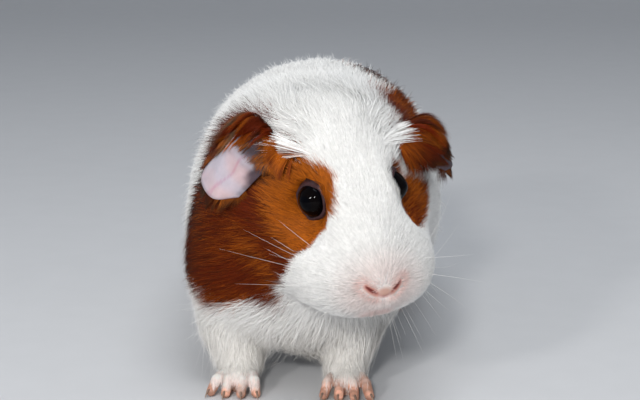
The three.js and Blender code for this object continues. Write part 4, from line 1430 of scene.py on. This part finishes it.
def chinHairs(side, rng):
    # long fine hairs that hang from the edge of the jaw, each bending back a little
    parts = []
    for i in range(whiskers["chin"]):
        share = i / (whiskers["chin"] - 1)
        start = rooted([side * (2.5 + 9 * share), -21 + 14 * share + rng.normal(), -25 + rng.normal()])
        way = [side * (0.15 + 0.5 * share), -0.55 + 0.25 * rng.normal(), -1.0]
        bend = [side * 0.1, 0.8, -0.6 + 0.2 * rng.normal()]
        length = whiskers["chinLength"][0] + whiskers["chinLength"][1] * rng.random()
        radius = 0.85 * whiskers["radius"]
        parts.append(fineHair(start, way, bend, length, 0.25, radius, whiskers["chinRings"]))
    return parts


def buildWhiskers():
    # both sets of a side as one piece
    rng = np.random.default_rng(whiskers["seed"])
    for side, name in ((-1, "whiskers_right"), (1, "whiskers_left")):
        piece = meshFrom(name, *joined(whiskerSet(side, rng) + chinHairs(side, rng)))
        dress(piece, "Whisker", "white_coat")


buildWhiskers()
print("whiskers")

studio = {
    "halfWidth": 2500,
    "front": -1500,
    "bend": (1200, 700),  # where the floor starts to rise, and the radius of the curve
    "floor": (0.60, 0.60, 0.61),
    "air": (0.72, 0.78, 0.86),
    "airStrength": 0.42,
}


def makeFloor():
    # a level floor that curves up into a backdrop well behind the animal
    material, nodes, links, shader = nodeMaterial("paleFloor")
    grain = noiseNode(nodes, links, 60, 4)
    blend = nodes.new("ShaderNodeMix")
    blend.data_type = "RGBA"
    for slot, share in (("A", 0.97), ("B", 1.03)):
        blend.inputs[slot].default_value = (*[share * c for c in studio["floor"]], 1)
    links.new(grain.outputs["Fac"], blend.inputs["Factor"])
    links.new(blend.outputs["Result"], shader.inputs["Base Color"])
    shader.inputs["Roughness"].default_value = 0.7
    start, radius = studio["bend"]
    x = np.linspace(-studio["halfWidth"], studio["halfWidth"], 3)
    t = np.linspace(0, 1, 40)
    bend = np.clip((t - 0.55) / 0.3, 0, 1)
    level = studio["front"] + (start - studio["front"]) * t / 0.55
    y = np.where(t < 0.55, level, start + radius * np.sin(bend * np.pi / 2))
    z = radius * (1 - np.cos(bend * np.pi / 2)) + np.maximum(t - 0.85, 0) * 9000
    points = np.stack([np.repeat(x, 40), np.tile(y, 3), np.tile(z, 3)], 1)
    floor = meshFrom("floor", points, gridFaces(3, 40))
    floor.data.materials.append(material)


# the way towards each light in the frame's axes, its distance, size and power, and its colour
lamps = {
    "keyLight": ((-0.05, -0.91, 0.41), 0.95, 0.11, 4.8, (1, 0.99, 0.975)),
    "sideLight": ((-0.41, -0.83, 0.38), 1.0, 0.11, 3.0, (1, 0.99, 0.975)),
    "rimLight": ((0.61, -0.75, 0.27), 1.2, 0.06, 0.35, (1, 1, 1)),
    "topLight": ((0.08, -0.15, 0.98), 0.9, 0.6, 4.2, (0.95, 0.98, 1)),
}


def areaLight(name, way, distance, size, power, colour):
    # a round lamp that faces the animal's head
    light = bpy.data.lights.new(name, "AREA")
    light.shape = "DISK"
    light.size = size
    light.energy = power
    light.color = colour
    lamp = bpy.data.objects.new(name, light)
    lamp.location = Vector(lookAt) + Vector(way).normalized() * distance
    lamp.rotation_euler = (-Vector(way)).to_track_quat("-Z", "Y").to_euler()
    bpy.context.collection.objects.link(lamp)


makeFloor()
lookAt = inFrame(eyeMiddle)
for name, values in lamps.items():
    areaLight(name, *values)
bpy.context.scene.view_settings.view_transform = "Standard"
world = bpy.data.worlds.new("studioAir")
world.use_nodes = True
world.node_tree.nodes["Background"].inputs["Color"].default_value = (*studio["air"], 1)
world.node_tree.nodes["Background"].inputs["Strength"].default_value = studio["airStrength"]
bpy.context.scene.world = world

view = {"azimuth": 5, "elevation": 12, "distance": 0.470, "lens": 92.0, "shift": (-0.0508, -0.0078)}
azimuth, elevation = math.radians(view["azimuth"]), math.radians(view["elevation"])
back = Vector((math.sin(azimuth) * math.cos(elevation), -math.cos(azimuth) * math.cos(elevation),
               math.sin(elevation)))
lens = bpy.data.cameras.new("camera")
lens.sensor_width = 36
lens.lens = view["lens"]
lens.shift_x, lens.shift_y = view["shift"]
lens.clip_start = 0.01
camera = bpy.data.objects.new("camera", lens)
camera.location = Vector(lookAt) + back * view["distance"]
camera.rotation_euler = (-back).to_track_quat("-Z", "Y").to_euler()
bpy.context.collection.objects.link(camera)
bpy.context.scene.camera = camera
